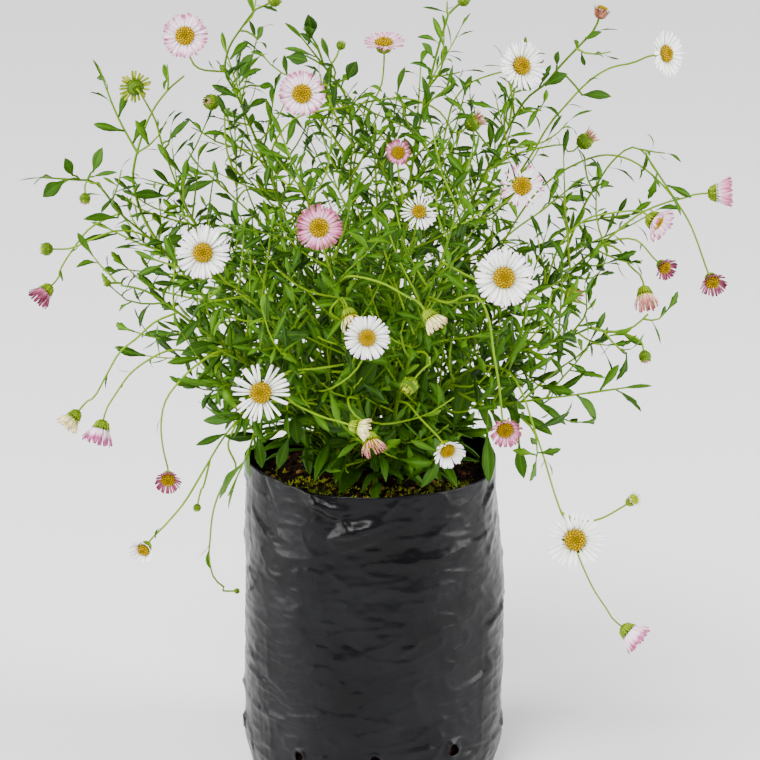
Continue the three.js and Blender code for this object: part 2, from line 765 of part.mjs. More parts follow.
// A side twig with its leaves: one blade whose outline runs out round every leaf. Each leaf
// leans off the twig's plane by an angle of its own, and the whole follows the twig's line.
class Spray {
  constructor(line, upper, seed, leafLength) {
    this.line = line;
    this.upper = upper;
    this.leaves = [];
    const draws = new Draws(seed);
    const pitch = (LEAF_PITCH * leafLength) / LEAF_LENGTH;
    const count = Math.max(2, Math.floor((line.length - 4) / pitch));
    for (let i = 0; i < count; i++) {
      this.leaves.push({
        root: 5 + i * pitch,
        side: i % 2 === 0 ? 1 : -1,
        length: leafLength * draws.between(0.8, 1.12),
        slant: THREE.MathUtils.degToRad(draws.between(38, 55)),
        lean: THREE.MathUtils.degToRad(draws.between(-40, 48)),
        edge: draws.next() < 0.2 ? CUT_LEAF : PLAIN_LEAF,
      });
    }
    this.tipLength = leafLength * 0.8;
  }

  // A leaf's corners in the twig's plane, as [across, along], for a leaf on the right side
  corners(leaf) {
    const half = LEAF_SLENDERNESS * leaf.length;
    const foot = TWIG_WIDTH / 2;
    const inPlane = ([width, share]) => [
      foot + share * leaf.length * Math.sin(leaf.slant) - width * half * Math.cos(leaf.slant),
      leaf.root + share * leaf.length * Math.cos(leaf.slant) + width * half * Math.sin(leaf.slant),
    ];
    return [[foot, leaf.root - 0.8], ...leaf.edge.map(inPlane), [foot, leaf.root + 0.8]];
  }

  // Bends a point of the flat outline onto the twig's line
  bend(across, along, rise) {
    const share = Math.max(0, along / this.line.length);
    const spot = this.line.curve.getPointAt(Math.min(1, share));
    const heading = this.line.curve.getTangentAt(Math.min(1, share));
    if (share > 1) spot.addScaledVector(heading, along - this.line.length);
    const up = this.upper.clone().addScaledVector(heading, -heading.dot(this.upper)).normalize();
    const aside = new THREE.Vector3().crossVectors(heading, up);
    return spot.addScaledVector(aside, across).addScaledVector(up, rise);
  }

  // Leans a point beyond the twig's edge up or down with its leaf, thickness and all
  leaned(across, along, rise) {
    const beyond = Math.abs(across) - TWIG_WIDTH / 2;
    const side = Math.sign(across);
    const leaf = this.leafAt(along, side, beyond);
    if (!leaf || beyond < -0.01) return this.bend(across, along, rise);
    const lean = beyond < 0.01 ? leaf.lean / 2 : leaf.lean;
    const sag = 0.012 * beyond * beyond;
    const out = TWIG_WIDTH / 2 + beyond * Math.cos(lean) - rise * Math.sin(lean);
    return this.bend(side * out, along, beyond * Math.sin(lean) + rise * Math.cos(lean) - sag);
  }

  // The leaf whose slanted strip holds a point
  leafAt(along, side, beyond) {
    let best = null;
    for (const leaf of this.leaves) {
      if (leaf.side !== side) continue;
      const offset = Math.abs(along - leaf.root - beyond / Math.tan(leaf.slant));
      if (best === null || offset < best.offset) best = { leaf, offset };
    }
    return best?.leaf ?? null;
  }

  solid() {
    const foot = TWIG_WIDTH / 2;
    const outline = new THREE.Shape();
    const right = this.leaves.filter((leaf) => leaf.side === 1);
    const left = this.leaves.filter((leaf) => leaf.side === -1);
    outline.moveTo(foot, -0.2);
    for (const leaf of right) for (const corner of this.corners(leaf)) outline.lineTo(...corner);
    const end = this.leaves.at(-1).root + 2.5;
    const half = LEAF_SLENDERNESS * this.tipLength;
    outline.lineTo(half, end + 0.5 * this.tipLength);
    outline.lineTo(0, end + this.tipLength);
    outline.lineTo(-half, end + 0.5 * this.tipLength);
    for (const leaf of left.reverse()) {
      for (const [across, along] of this.corners(leaf).reverse()) outline.lineTo(-across, along);
    }
    outline.lineTo(-foot, -0.2);
    outline.closePath();
    const blade = new THREE.ExtrudeGeometry(outline, { depth: BLADE, steps: 1, bevelEnabled: false });
    const place = blade.attributes.position;
    for (let i = 0; i < place.count; i++) {
      const rise = place.getZ(i) - BLADE / 2;
      const along = place.getY(i);
      const spot = along > end + 0.1
        ? this.bend(place.getX(i), along, rise)
        : this.leaned(place.getX(i), along, rise);
      place.setXYZ(i, spot.x, spot.y, spot.z);
    }
    return solidFrom(blade);
  }

  balls(node, route) {
    const found = ballsAlong(this.line, TWIG_WIDTH / 2, node, route);
    for (const leaf of this.leaves) {
      for (const share of [0.25, 0.45, 0.65, 0.85, 1]) {
        const across = TWIG_WIDTH / 2 + share * leaf.length * Math.sin(leaf.slant);
        const along = leaf.root + share * leaf.length * Math.cos(leaf.slant);
        const radius = share > 0.9 ? 0.7 : LEAF_SLENDERNESS * leaf.length;
        found.push({ at: this.leaned(leaf.side * across, along, 0), radius, node, route });
      }
    }
    const end = this.leaves.at(-1).root + 2.5;
    for (const share of [0.3, 0.6, 1]) {
      found.push({ at: this.bend(0, end + share * this.tipLength, 0), radius: 1.5, node, route });
    }
    return found;
  }
}

// Rays of a head as one star-shaped blade, its rays leaned off the flat like a cone
function rayStar(petals, root, reach, lean, seed) {
  const draws = new Draws(seed);
  const step = (2 * Math.PI) / petals;
  const star = new THREE.Shape();
  const leans = [];
  for (let i = 0; i < petals; i++) {
    const far = reach * draws.between(0.86, 1);
    leans.push(lean + draws.between(-0.09, 0.09));
    const corners = [[root, i - 0.5], [far, i - 0.38], [far, i + 0.38]];
    for (const [radius, turn] of corners) {
      const corner = [radius * Math.cos(turn * step), radius * Math.sin(turn * step)];
      if (i === 0 && turn < -0.45) star.moveTo(...corner);
      else star.lineTo(...corner);
    }
  }
  star.closePath();
  const blade = new THREE.ExtrudeGeometry(star, { depth: BLADE, steps: 1, bevelEnabled: false });
  const place = blade.attributes.position;
  for (let i = 0; i < place.count; i++) {
    const [x, y, z] = [place.getX(i), place.getY(i), place.getZ(i)];
    const radius = Math.hypot(x, y);
    const turn = Math.atan2(y, x);
    const beyond = Math.max(0, radius - root);
    const petal = (Math.round(turn / step) + petals) % petals;
    const tilt = beyond > 0.01 ? leans[petal] : lean / 2;
    const out = Math.min(radius, root) + beyond * Math.cos(tilt) - z * Math.sin(tilt);
    const rise = beyond * Math.sin(tilt) + z * Math.cos(tilt);
    place.setXYZ(i, out * Math.cos(turn), out * Math.sin(turn), rise);
  }
  return solidFrom(blade);
}

// A domed disc of florets, as relief on a low dome
function discSolid(radius, height, base, sides) {
  const profile = [[0, base], [radius, base], [0.97 * radius, base + 0.35 * height],
    [0.6 * radius, base + 0.85 * height], [0, base + height]];
  const dome = turned(profile, sides);
  const place = dome.attributes.position;
  for (let i = 0; i < place.count; i++) {
    const [x, y, z] = [place.getX(i), place.getY(i), place.getZ(i)];
    const corner = Math.floor((Math.atan2(y, x) * sides) / (2 * Math.PI) + 0.25);
    const inner = Math.hypot(x, y) > 0.1 * radius && Math.hypot(x, y) < 0.8 * radius;
    if (inner && corner % 2 === 0) place.setXYZ(i, 0.84 * x, 0.84 * y, z + 0.12 * height);
  }
  return solidFrom(dome);
}

function headFrame(at, face) {
  const turn = new THREE.Quaternion().setFromUnitVectors(new THREE.Vector3(0, 0, 1), face);
  return new THREE.Matrix4().compose(at, turn, new THREE.Vector3(1, 1, 1));
}

function placed(solid, frame) {
  return solid.transform(frame.elements);
}

// The green cup under a head
function cupSolid(radius) {
  const profile = [[0, -GAP - CUP_HEIGHT], [radius, -GAP - 0.45 * CUP_HEIGHT],
    [0.9 * radius, -GAP], [0, -GAP]];
  return solidFrom(turned(profile, 6));
}

// A bud or a closed green head, with the tips of its rays just out when it has any
function budSolid(bud) {
  const radius = bud.size / 2;
  const profile = [[0, -radius], [radius, -0.25 * radius], [0.7 * radius, 0.8 * radius],
    [0, 0.95 * radius]];
  const body = solidFrom(turned(profile, 6));
  if (!bud.rays) return body;
  const lean = THREE.MathUtils.degToRad(bud.rays > 8 ? 15 : 62);
  const reach = bud.rays > 8 ? 1.8 * radius : 1.7 * radius;
  const rays = rayStar(bud.rays, 0.6 * radius, reach, lean, bud.rays);
  return body.add(rays);
}

// The smooth line of a route from its way points, its start and its head or bud
function routePoints(stem, route, parents) {
  const points = route.way.map(fromPhoto);
  if (route.from === undefined) {
    const [x, y] = stem.hole;
    const foot = SOIL_TOP - HOLE_DEPTH + 1;
    const rises = [foot, foot + 8, foot + 16, foot + 22];
    points.unshift(...rises.map((height) => new THREE.Vector3(x, y, height)));
  } else {
    points[0] = parents[route.from].nearest(points[0]);
  }
  const tip = route.head ?? route.bud;
  if (tip) {
    const at = fromPhoto(tip.at);
    const face = facing(tip.face);
    const back = route.head ? GAP + 0.6 * CUP_HEIGHT : 0.7 * (tip.size / 2);
    points.push(at.clone().addScaledVector(face, -back - 6));
    points.push(at.clone().addScaledVector(face, -back));
  }
  return points;
}

// A stem's radius by its kind, and how far its straight stretches may sag
const ROUTE_RADII = { trunk: TRUNK_RADIUS, leafy: LEAFY_RADIUS, stalk: STALK_RADIUS };
const SAGS = { trunk: 0.4, leafy: 0.7, stalk: 0.7 };

// A route bent a little nearer or further in its middle until it is clear
const BENDS = [0, 3, -3, 6, -6, 9, -9, 12, -12, 16, -16, 20, -20, 25, -25];

function clearRoute(points, fixed, kind, node, route) {
  const radius = ROUTE_RADII[kind];
  let line = null;
  for (const bend of BENDS) {
    const bent = points.map((point, i) => {
      const share = Math.max(0, i - fixed) / (points.length - 1 - fixed);
      const swell = Math.sin(Math.PI * share);
      return point.clone().add(new THREE.Vector3(0, bend * swell, 0));
    });
    line = new Line(bent, SAGS[kind]);
    const balls = ballsAlong(line, radius, node, route);
    if (isClear(balls, node, null, 1.1)) return { line, balls };
  }
  return { line, balls: ballsAlong(line, radius, node, route), crossing: true };
}

// Whether a point stands before a head, where the picture shows the head whole
const shownHeads = [];

function hidesHead(point, spare) {
  for (const head of shownHeads) {
    const towards = EYE.clone().sub(head.at).normalize();
    const offset = point.clone().sub(head.at);
    const nearer = offset.dot(towards);
    if (nearer < -1) continue;
    offset.addScaledVector(towards, -nearer);
    if (offset.length() < head.radius + spare) return true;
  }
  return false;
}

// The balls that a head's rays take up
function headBalls(at, face, radius, lean, node) {
  const balls = [];
  const frame = headFrame(at, face);
  const root = 0.3 * radius;
  for (let ring = 0; ring < 4; ring++) {
    const beyond = ((radius - root) * ring) / 3;
    const out = root + beyond * Math.cos(lean);
    const count = ring === 0 ? 5 : 6 + 4 * ring;
    for (let i = 0; i < count; i++) {
      const turn = (2 * Math.PI * i) / count;
      const spot = new THREE.Vector3(out * Math.cos(turn), out * Math.sin(turn), beyond * Math.sin(lean));
      balls.push({ at: spot.applyMatrix4(frame), radius: 1.3, node, route: 0 });
    }
  }
  return balls;
}

const row = new THREE.Group();

function addNode(name, solid, colour, roughness) {
  const material = new THREE.MeshStandardMaterial({ color: colour, roughness, metalness: 0 });
  const mesh = new THREE.Mesh(geometryFrom(solid), material);
  mesh.name = name;
  row.add(mesh);
}

// The planter bag: a slightly slack round bag with a folded-in foot and punched drain holes
const RING_HEIGHTS = [0, 14, 72, SOIL_TOP, BAG_HEIGHT];

function bagRadius(height) {
  const foot = THREE.MathUtils.smoothstep(height, -6, 16);
  const rim = THREE.MathUtils.smoothstep(height, 75, BAG_HEIGHT);
  return THREE.MathUtils.lerp(THREE.MathUtils.lerp(BAG_FOOT_RADIUS, BAG_RADIUS, foot), BAG_RIM_RADIUS, rim);
}

// The film's slack: a few shallow swells round it, none at the foot
function slack(turn, height) {
  const held = THREE.MathUtils.smoothstep(height, 0, 25);
  return held * (0.7 * Math.sin(3 * turn + height / 30) + 0.5 * Math.sin(5 * turn - height / 17));
}

function rimDrop(turn, height) {
  const top = THREE.MathUtils.smoothstep(height, SOIL_TOP, BAG_HEIGHT);
  return top * (1.4 * Math.sin(2 * turn + 0.6) - 0.9 * Math.cos(3 * turn));
}

function slacken(geometry, inset) {
  const place = geometry.attributes.position;
  for (let i = 0; i < place.count; i++) {
    const [x, y, z] = [place.getX(i), place.getY(i), place.getZ(i)];
    const radius = Math.hypot(x, y);
    if (radius < 1e-6) continue;
    const turn = Math.atan2(y, x);
    const wall = THREE.MathUtils.smoothstep(radius, 0.6 * BAG_FOOT_RADIUS, BAG_FOOT_RADIUS - 4);
    const out = radius + wall * slack(turn, z + inset);
    place.setXYZ(i, out * Math.cos(turn), out * Math.sin(turn), z + wall * rimDrop(turn, z));
  }
  return geometry;
}

function buildBag() {
  const outer = RING_HEIGHTS.map((height) => [bagRadius(height), height]);
  const inner = RING_HEIGHTS.slice(1).reverse().map((height) => [bagRadius(height) - BAG_WALL, height]);
  const floor = [bagRadius(BAG_WALL) - 2 * BAG_WALL, BAG_WALL];
  const profile = [[0, 0], ...outer, ...inner, floor, [0, BAG_WALL]];
  let bag = solidFrom(slacken(turned(profile, BAG_SIDES), 0));
  for (const turn of DRAIN_TURNS) {
    const punch = new THREE.CylinderGeometry(DRAIN_RADIUS, DRAIN_RADIUS, 24, 6);
    punch.rotateZ(Math.PI / 2).translate(BAG_RADIUS, 0, DRAIN_HEIGHT);
    punch.rotateZ(THREE.MathUtils.degToRad(turn));
    bag = bag.subtract(solidFrom(punch));
  }
  addNode("bag", bag, FILM_BLACK, 0.35);
}

function buildSoil() {
  const inset = BAG_WALL + GAP;
  const side = RING_HEIGHTS.slice(1, -1).reverse().map((height) => [bagRadius(height) - inset, height]);
  const foot = [bagRadius(BAG_WALL) - 2 * BAG_WALL - 2, BAG_WALL + GAP];
  const top = [[0, SOIL_TOP + SOIL_CROWN], [0.4 * BAG_RADIUS, SOIL_TOP + SOIL_CROWN],
    [0.74 * BAG_RADIUS, SOIL_TOP + 0.6]];
  const mix = slacken(turned([...top, ...side, foot, [0, BAG_WALL + GAP]], BAG_SIDES), 0);
  const place = mix.attributes.position;
  for (let i = 0; i < place.count; i++) {
    const radius = Math.hypot(place.getX(i), place.getY(i));
    if (place.getZ(i) < SOIL_TOP + 0.3 || radius < 25) continue;
    place.setZ(i, place.getZ(i) + 0.7 * Math.sin(place.getX(i) / 3) * Math.cos(place.getY(i) / 4));
  }
  let soil = solidFrom(mix);
  for (const stem of STEMS) {
    const bore = new THREE.CylinderGeometry(HOLE_RADIUS, HOLE_RADIUS, 40, 6);
    bore.rotateX(Math.PI / 2).translate(stem.hole[0], stem.hole[1], SOIL_TOP - HOLE_DEPTH + 20);
    soil = soil.subtract(solidFrom(bore));
  }
  addNode("soil", soil, MIX_BROWN, 0.95);
}

// Leaves are longer low down, near the rim
function leafLengthAt(height) {
  const low = 1 - THREE.MathUtils.smoothstep(height, 140, 190);
  return THREE.MathUtils.lerp(LEAF_LENGTH, LOW_LEAF_LENGTH, low);
}

// One spray from a point of a stem, tried at a few turns until it is clear
function sprayFrom(spot, along, lift, reach, node, route, seed, turns) {
  for (let attempt = 0; attempt < turns; attempt++) {
    const turn = seed + 1.05 * attempt;
    const size = attempt > 4 ? 0.75 * reach : reach;
    const aside = new THREE.Vector3(0, 0, 1).cross(along);
    if (aside.length() < 0.1) aside.set(1, 0, 0);
    aside.normalize();
    const other = new THREE.Vector3().crossVectors(along, aside);
    const out = aside.multiplyScalar(Math.cos(turn)).addScaledVector(other, Math.sin(turn));
    const heading = along.clone().multiplyScalar(Math.cos(lift)).addScaledVector(out, Math.sin(lift));
    const middle = spot.clone().addScaledVector(heading, 0.5 * size);
    const tip = spot.clone().addScaledVector(heading, size).addScaledVector(along, 0.12 * size);
    const line = new Line([spot, middle, tip], 0.6);
    const upper = lift < 0.1 ? out : along;
    const spray = new Spray(line, upper, seed, leafLengthAt(tip.z));
    const balls = spray.balls(node, route);
    const free = balls.slice(2);
    if (free.some((ball) => ball.at.z < SOIL_TOP + 7 && Math.hypot(ball.at.x, ball.at.y) < 62)) continue;
    if (free.some((ball) => hidesHead(ball.at, 1))) continue;
    if (!isClear(free, node, route, 0.9)) continue;
    take(balls);
    return spray;
  }
  return null;
}

// Side sprays along a stem, turned by the golden angle from one to the next
function spraysOn(entry, spacing, start) {
  const { stem, line, id } = entry;
  const sprays = [];
  const count = Math.max(1, Math.round((line.length * (0.92 - start)) / spacing));
  for (let i = 0; i < count; i++) {
    const draws = new Draws(id * 131 + 7 * i + 3);
    const share = start + ((0.92 - start) * (i + 0.5)) / count;
    const lift = THREE.MathUtils.degToRad(draws.between(42, 62));
    const reach = TWIG_LENGTH * draws.between(0.8, 1.15);
    const turn = GOLDEN_TURN * i + id;
    const spray = sprayFrom(line.at(share), line.along(share), lift, reach, stem.name, id, turn, 8);
    if (spray) sprays.push(spray);
  }
  return sprays;
}

// First the heads and buds, so that every stem keeps clear of them
const routes = [];
for (const stem of STEMS) {
  for (const [index, route] of stem.routes.entries()) {
    const tip = route.head ?? route.bud;
    const entry = { stem, route, index, id: routes.length };
    routes.push(entry);
    if (!tip) continue;
    entry.at = fromPhoto(tip.at);
    entry.face = facing(tip.face);
    if (route.head) {
      const form = HEAD_FORMS[tip.form];
      const lean = THREE.MathUtils.degToRad(form.lean);
      take(headBalls(entry.at, entry.face, tip.size / 2, lean, `bloom_${tip.name}`));
      shownHeads.push({ at: entry.at, radius: tip.size / 2 });
    } else {
      take([{ at: entry.at, radius: tip.size / 2 + 0.3, node: stem.name, route: entry.id }]);
    }
  }
}

// Then the stems and stalks, each bent clear of those already there
for (const entry of routes) {
  const { stem, route } = entry;
  const parents = routes.filter((other) => other.stem === stem).map((other) => other.line);
  const points = routePoints(stem, route, parents);
  const own = route.head ? `bloom_${route.head.name}` : stem.name;
  const fixed = route.from === undefined ? 4 : 0;
  Object.assign(entry, clearStem(points, fixed, route.kind, stem.name, entry.id, own));
  take(entry.balls);
  if (entry.crossing) console.log(`${stem.name} route ${entry.index} has no clear line`);
}

// A stalk may touch its own head's place, and nothing else's
function clearStem(points, fixed, kind, node, route, own) {
  const hidden = [];
  for (const list of taken.values()) {
    for (const ball of list) {
      if (ball.node !== own || own === node) continue;
      ball.node = node;
      hidden.push(ball);
    }
  }
  const found = clearRoute(points, fixed, kind, node, route);
  for (const ball of hidden) ball.node = own;
  return found;
}

// Leafy stems end in a spray, and carry more on their sides
const stemSolids = new Map(STEMS.map((stem) => [stem.name, []]));
for (const { stem, route, line, id } of routes) {
  stemSolids.get(stem.name).push(stemSolid(line, ROUTE_RADII[route.kind], 3));
  if (route.kind === "stalk" || route.bud || route.head || route.bare) continue;
  const spray = sprayFrom(line.at(1), line.along(1), 0.02, TIP_TWIG_LENGTH, stem.name, id, id, 8);
  if (spray) stemSolids.get(stem.name).push(spray.solid());
}
for (const entry of routes) {
  if (entry.route.kind === "stalk") continue;
  const sprays = spraysOn(entry, SPRAY_SPACING, 0.15);
  stemSolids.get(entry.stem.name).push(...sprays.map((spray) => spray.solid()));
}

buildBag();
buildSoil();

for (const { stem, route, at, face } of routes) {
  if (route.head) {
    stemSolids.get(stem.name).push(placed(cupSolid(CUP_SHARE * route.head.size + 0.6), headFrame(at, face)));
  } else if (route.bud) {
    stemSolids.get(stem.name).push(placed(budSolid(route.bud), headFrame(at, face)));
  }
}
for (const [name, solids] of stemSolids) addNode(name, joined(solids), LEAF_GREEN, 0.6);

for (const { route, at, face, id } of routes) {
  if (!route.head) continue;
  const { name, form, colour, size, disc } = route.head;
  const { petals, lean } = HEAD_FORMS[form];
  const frame = headFrame(at, face);
  const discRadius = DISC_SHARE * size + 0.4;
  const rays = rayStar(petals, discRadius, size / 2, THREE.MathUtils.degToRad(lean), id + 1);
  const height = 0.45 * discRadius;
  if (disc) {
    addNode(`bloom_${name}`, placed(rays, frame), RAY_COLOURS[colour], 0.6);
    addNode(`disc_${name}`, placed(discSolid(0.86 * discRadius, height, BLADE + GAP, 8), frame), DISC_YELLOW, 0.8);
  } else {
    const dome = discSolid(0.8 * discRadius, height, 0.5 * BLADE, 6);
    addNode(`bloom_${name}`, placed(rays.add(dome), frame), RAY_COLOURS[colour], 0.6);
  }
}

export default row;
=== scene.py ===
# A young many-rayed daisy in a black polythene planter bag, dressed over its solid model.
import math
from bisect import bisect_right
from itertools import product

import bmesh
import bpy
from mathutils import Matrix, Vector, noise


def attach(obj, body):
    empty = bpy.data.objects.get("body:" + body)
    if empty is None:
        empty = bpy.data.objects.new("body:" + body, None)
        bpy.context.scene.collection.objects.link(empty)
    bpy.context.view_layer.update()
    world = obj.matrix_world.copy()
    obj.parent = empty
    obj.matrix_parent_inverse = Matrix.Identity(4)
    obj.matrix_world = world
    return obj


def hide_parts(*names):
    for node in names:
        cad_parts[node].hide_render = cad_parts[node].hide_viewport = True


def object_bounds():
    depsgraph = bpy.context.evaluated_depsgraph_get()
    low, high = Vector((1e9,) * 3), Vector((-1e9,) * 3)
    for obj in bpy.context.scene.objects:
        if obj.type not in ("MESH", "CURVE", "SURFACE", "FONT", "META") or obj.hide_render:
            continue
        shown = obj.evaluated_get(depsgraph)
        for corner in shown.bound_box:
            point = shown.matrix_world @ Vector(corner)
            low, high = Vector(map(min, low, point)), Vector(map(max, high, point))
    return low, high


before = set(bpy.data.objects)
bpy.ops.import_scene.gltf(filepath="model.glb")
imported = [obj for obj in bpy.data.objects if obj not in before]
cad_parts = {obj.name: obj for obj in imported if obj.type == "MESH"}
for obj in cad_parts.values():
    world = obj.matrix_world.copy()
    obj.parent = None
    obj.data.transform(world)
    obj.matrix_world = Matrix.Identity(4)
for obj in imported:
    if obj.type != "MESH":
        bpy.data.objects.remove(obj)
cad_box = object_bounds()

# The view
# The plant stands on a plain pale floor and is seen through a long lens from a little above
# the rim of its bag, in even, soft light from both sides. Lengths are in millimetres here
# and in every section, and each piece is brought to metres when it is finished.
VIEW_ELEVATION = math.radians(16.5)
VIEW_DISTANCE = 1800
MM_PER_PIXEL = 0.42
PHOTO_SIZE = 760
PHOTO_MIDDLE = PHOTO_SIZE / 2
VIEW_TARGET = Vector((3, 0, 171))
VIEW_RIGHT = Vector((1, 0, 0))
VIEW_UP = Vector((0, math.sin(VIEW_ELEVATION), math.cos(VIEW_ELEVATION)))
VIEW_FORWARD = Vector((0, math.cos(VIEW_ELEVATION), -math.sin(VIEW_ELEVATION)))
EYE = VIEW_TARGET - VIEW_DISTANCE * VIEW_FORWARD
METRE = 0.001
SENSOR = 36
# The lights and the floor are set out in metres
SOFTBOXES = {"right_softbox": (1.5, -0.35, 0.7), "left_softbox": (-1.5, -0.35, 0.7)}
PLANT_MIDDLE = Vector((0, 0, 0.18))


def plain_material(name, colour, roughness, specular=0.5, **sockets):
    """A new material with its shader's own sockets set: the material, its nodes and its shader."""
    material = bpy.data.materials.new(name)
    material.use_nodes = True
    shader = material.node_tree.nodes["Principled BSDF"]
    sockets |= {"Base Color": (*colour, 1), "Roughness": roughness, "Specular IOR Level": specular}
    for socket, value in sockets.items():
        shader.inputs[socket].default_value = value
    return material, material.node_tree.nodes, shader


def shape_mesh(shape, name):
    """Ends a shape as a mesh of its own."""
    mesh = bpy.data.meshes.new(name)
    shape.to_mesh(mesh)
    shape.free()
    return mesh


def show(name, data):
    """Puts a mesh, a curve, a light or a camera in the scene."""
    thing = bpy.data.objects.new(name, data)
    bpy.context.scene.collection.objects.link(thing)
    return thing


camera = show("camera", bpy.data.cameras.new("camera"))
camera.data.sensor_width = SENSOR
camera.data.lens = SENSOR * VIEW_DISTANCE / (MM_PER_PIXEL * PHOTO_SIZE)
camera.data.clip_end = 20
camera.location = EYE * METRE
camera.rotation_euler = (math.pi / 2 - VIEW_ELEVATION, 0, 0)
bpy.context.scene.camera = camera

floor_shape = bmesh.new()
bmesh.ops.create_grid(floor_shape, x_segments=2, y_segments=2, size=4)
floor = show("floor", shape_mesh(floor_shape, "floor"))
floor.data.materials.append(plain_material("pale_floor", (0.86, 0.86, 0.86), 0.7)[0])

world = bpy.data.worlds.new("studio")
world.use_nodes = True
sky = world.node_tree.nodes["Background"]
sky.inputs["Color"].default_value = (1, 1, 1, 1)
sky.inputs["Strength"].default_value = 0.45
bpy.context.scene.world = world

sun = bpy.data.lights.new("overhead_light", "SUN")
sun.energy = 4.3
sun.angle = math.radians(26)
show("overhead_light", sun).rotation_euler = (math.radians(32), math.radians(-16), 0)
for name, place in SOFTBOXES.items():
    light = bpy.data.lights.new(name, "AREA")
    light.shape = "RECTANGLE"
    light.size = 0.8
    light.size_y = 1.6
    light.energy = 62
    lamp = show(name, light)
    lamp.location = place
    lamp.rotation_euler = (PLANT_MIDDLE - Vector(place)).to_track_quat("-Z", "Y").to_euler()


# The planter bag
# One bag of thin black polythene film, welded and gusseted at its foot, open at the top, and
# held out by the mix inside. The film has creases from folding, a pinch at the front of its
# rim and a ring of punched drain holes near its foot.
BAG_HEIGHT = 137
BAG_RADIUS = 54.6
BAG_RIM_RADIUS = 52.5
BAG_FOOT_RADIUS = 50
FILM = 0.3
DRAIN_TURNS = [-175, -123.5, -89, -52, -3, 52, 89, 123.5]
DRAIN_HEIGHTS = [20.5, 20, 21.6, 21.6, 20.5, 20.2, 20.8, 20.4]
DRAIN_RADIUS = 2.4
SOIL_TOP = 129
FILM_COLUMNS = 310
FILM_ROWS = 150
# How much finer the film's net is at the front, where its creases are read from the picture
FINER_FRONT = 0.32
BASE_INSETS = (3, 8, 12, 14)
HIGHEST_FOLD = 5.5
CREASE_REACH = 6
HOLE_REACH = 6


class Draws:
    """Seeded draws between 0 and 1, the same on every run."""

    def __init__(self, seed):
        self.state = int(seed * 2654435761 + 12345) & 0xFFFFFFFF

    def next(self):
        self.state = (self.state * 1664525 + 1013904223) & 0xFFFFFFFF
        return self.state / 4294967296

    def between(self, low, high):
        return low + (high - low) * self.next()


def smooth_step(value, low, high):
    share = min(1, max(0, (value - low) / (high - low)))
    return share * share * (3 - 2 * share)


def mix(low, high, share):
    return low + (high - low) * share


def bag_radius(height):
    foot = smooth_step(height, -6, 16)
    rim = smooth_step(height, 75, BAG_HEIGHT)
    return mix(mix(BAG_FOOT_RADIUS, BAG_RADIUS, foot), BAG_RIM_RADIUS, rim)


def slack(turn, height):
    """The film's slack: a few shallow swells round it, none at the foot."""
    held = smooth_step(height, 0, 25)
    return held * (0.7 * math.sin(3 * turn + height / 30) + 0.5 * math.sin(5 * turn - height / 17))


def rim_drop(turn, height):
    top = smooth_step(height, SOIL_TOP, BAG_HEIGHT)
    return top * (1.4 * math.sin(2 * turn + 0.6) - 0.9 * math.cos(3 * turn))


# Each crease runs from one (column, row) of the picture to another on the front of the film,
# with its half width and its height in millimetres; a negative height is a valley.
FRONT_CREASES = [
    ((302, 489), (350, 513), 3.4, 3.0), ((306, 505), (340, 524), 1.6, -1.5),
    ((330, 538), (384, 523), 3.8, 3.3), ((322, 522), (374, 513), 1.6, -1.6),
    ((332, 510), (352, 528), 1.5, 1.6), ((340, 556), (382, 544), 1.8, -1.3),
    ((306, 498), (332, 510), 0.9, 1.0), ((314, 494), (344, 506), 0.8, -0.8),
    ((334, 532), (376, 522), 0.9, 0.9), ((338, 542), (372, 534), 0.9, -1.0),
    ((346, 530), (366, 538), 0.8, 0.8), ((318, 500), (336, 516), 0.8, 0.7),
    ((312, 514), (318, 498), 1.2, 1.0), ((380, 520), (398, 500), 1.4, 1.0),
    ((380, 553), (420, 545), 1.8, -0.9), ((384, 574), (430, 572), 1.8, -1.0),
    ((392, 566), (446, 552), 2.2, 0.9), ((426, 562), (470, 538), 1.6, 0.7),
    ((420, 545), (458, 512), 1.8, 0.6), ((446, 532), (482, 508), 1.4, -0.6),
    ((458, 548), (492, 524), 1.6, 0.8), ((470, 520), (496, 470), 1.8, 1.0),
    ((478, 512), (488, 478), 1.3, -0.8), ((482, 560), (497, 505), 1.8, 0.8),
    ((247, 470), (252, 530), 1.8, 0.9), ((252, 500), (280, 548), 2.2, 0.9),
    ((262, 470), (278, 518), 1.8, -0.7), ((244, 538), (262, 590), 2.0, 0.8),
    ((256, 560), (300, 600), 2.4, -0.6), ((243, 640), (270, 664), 1.6, 1.1),
    ((246, 652), (276, 690), 1.6, 0.8), ((258, 668), (290, 700), 1.8, -0.7),
    ((252, 700), (288, 722), 1.6, 0.9), ((266, 690), (300, 716), 1.8, -0.6),
    ((244, 738), (300, 752), 1.5, -0.8), ((300, 752), (372, 762), 1.4, 0.5),
    ((356, 604), (400, 596), 2.2, -0.7), ((366, 616), (412, 622), 2.0, -0.7),
    ((372, 634), (404, 632), 1.6, -0.6), ((340, 640), (362, 652), 1.6, -0.8),
    ((398, 650), (416, 648), 1.3, 0.8), ((384, 658), (410, 658), 1.4, -0.5),
    ((372, 712), (392, 708), 1.3, -0.6), ((392, 730), (430, 726), 1.6, -0.5),
    ((400, 752), (446, 748), 1.4, 0.8), ((456, 690), (494, 664), 2.0, 0.7),
    ((470, 640), (500, 600), 2.2, 0.7), ((462, 670), (498, 640), 2.0, -0.6),
    ((452, 752), (486, 742), 1.4, -0.7), ((486, 744), (500, 722), 1.5, 0.9),
    ((300, 700), (340, 706), 2.2, -0.4), ((320, 560), (350, 566), 2.6, -0.5),
]
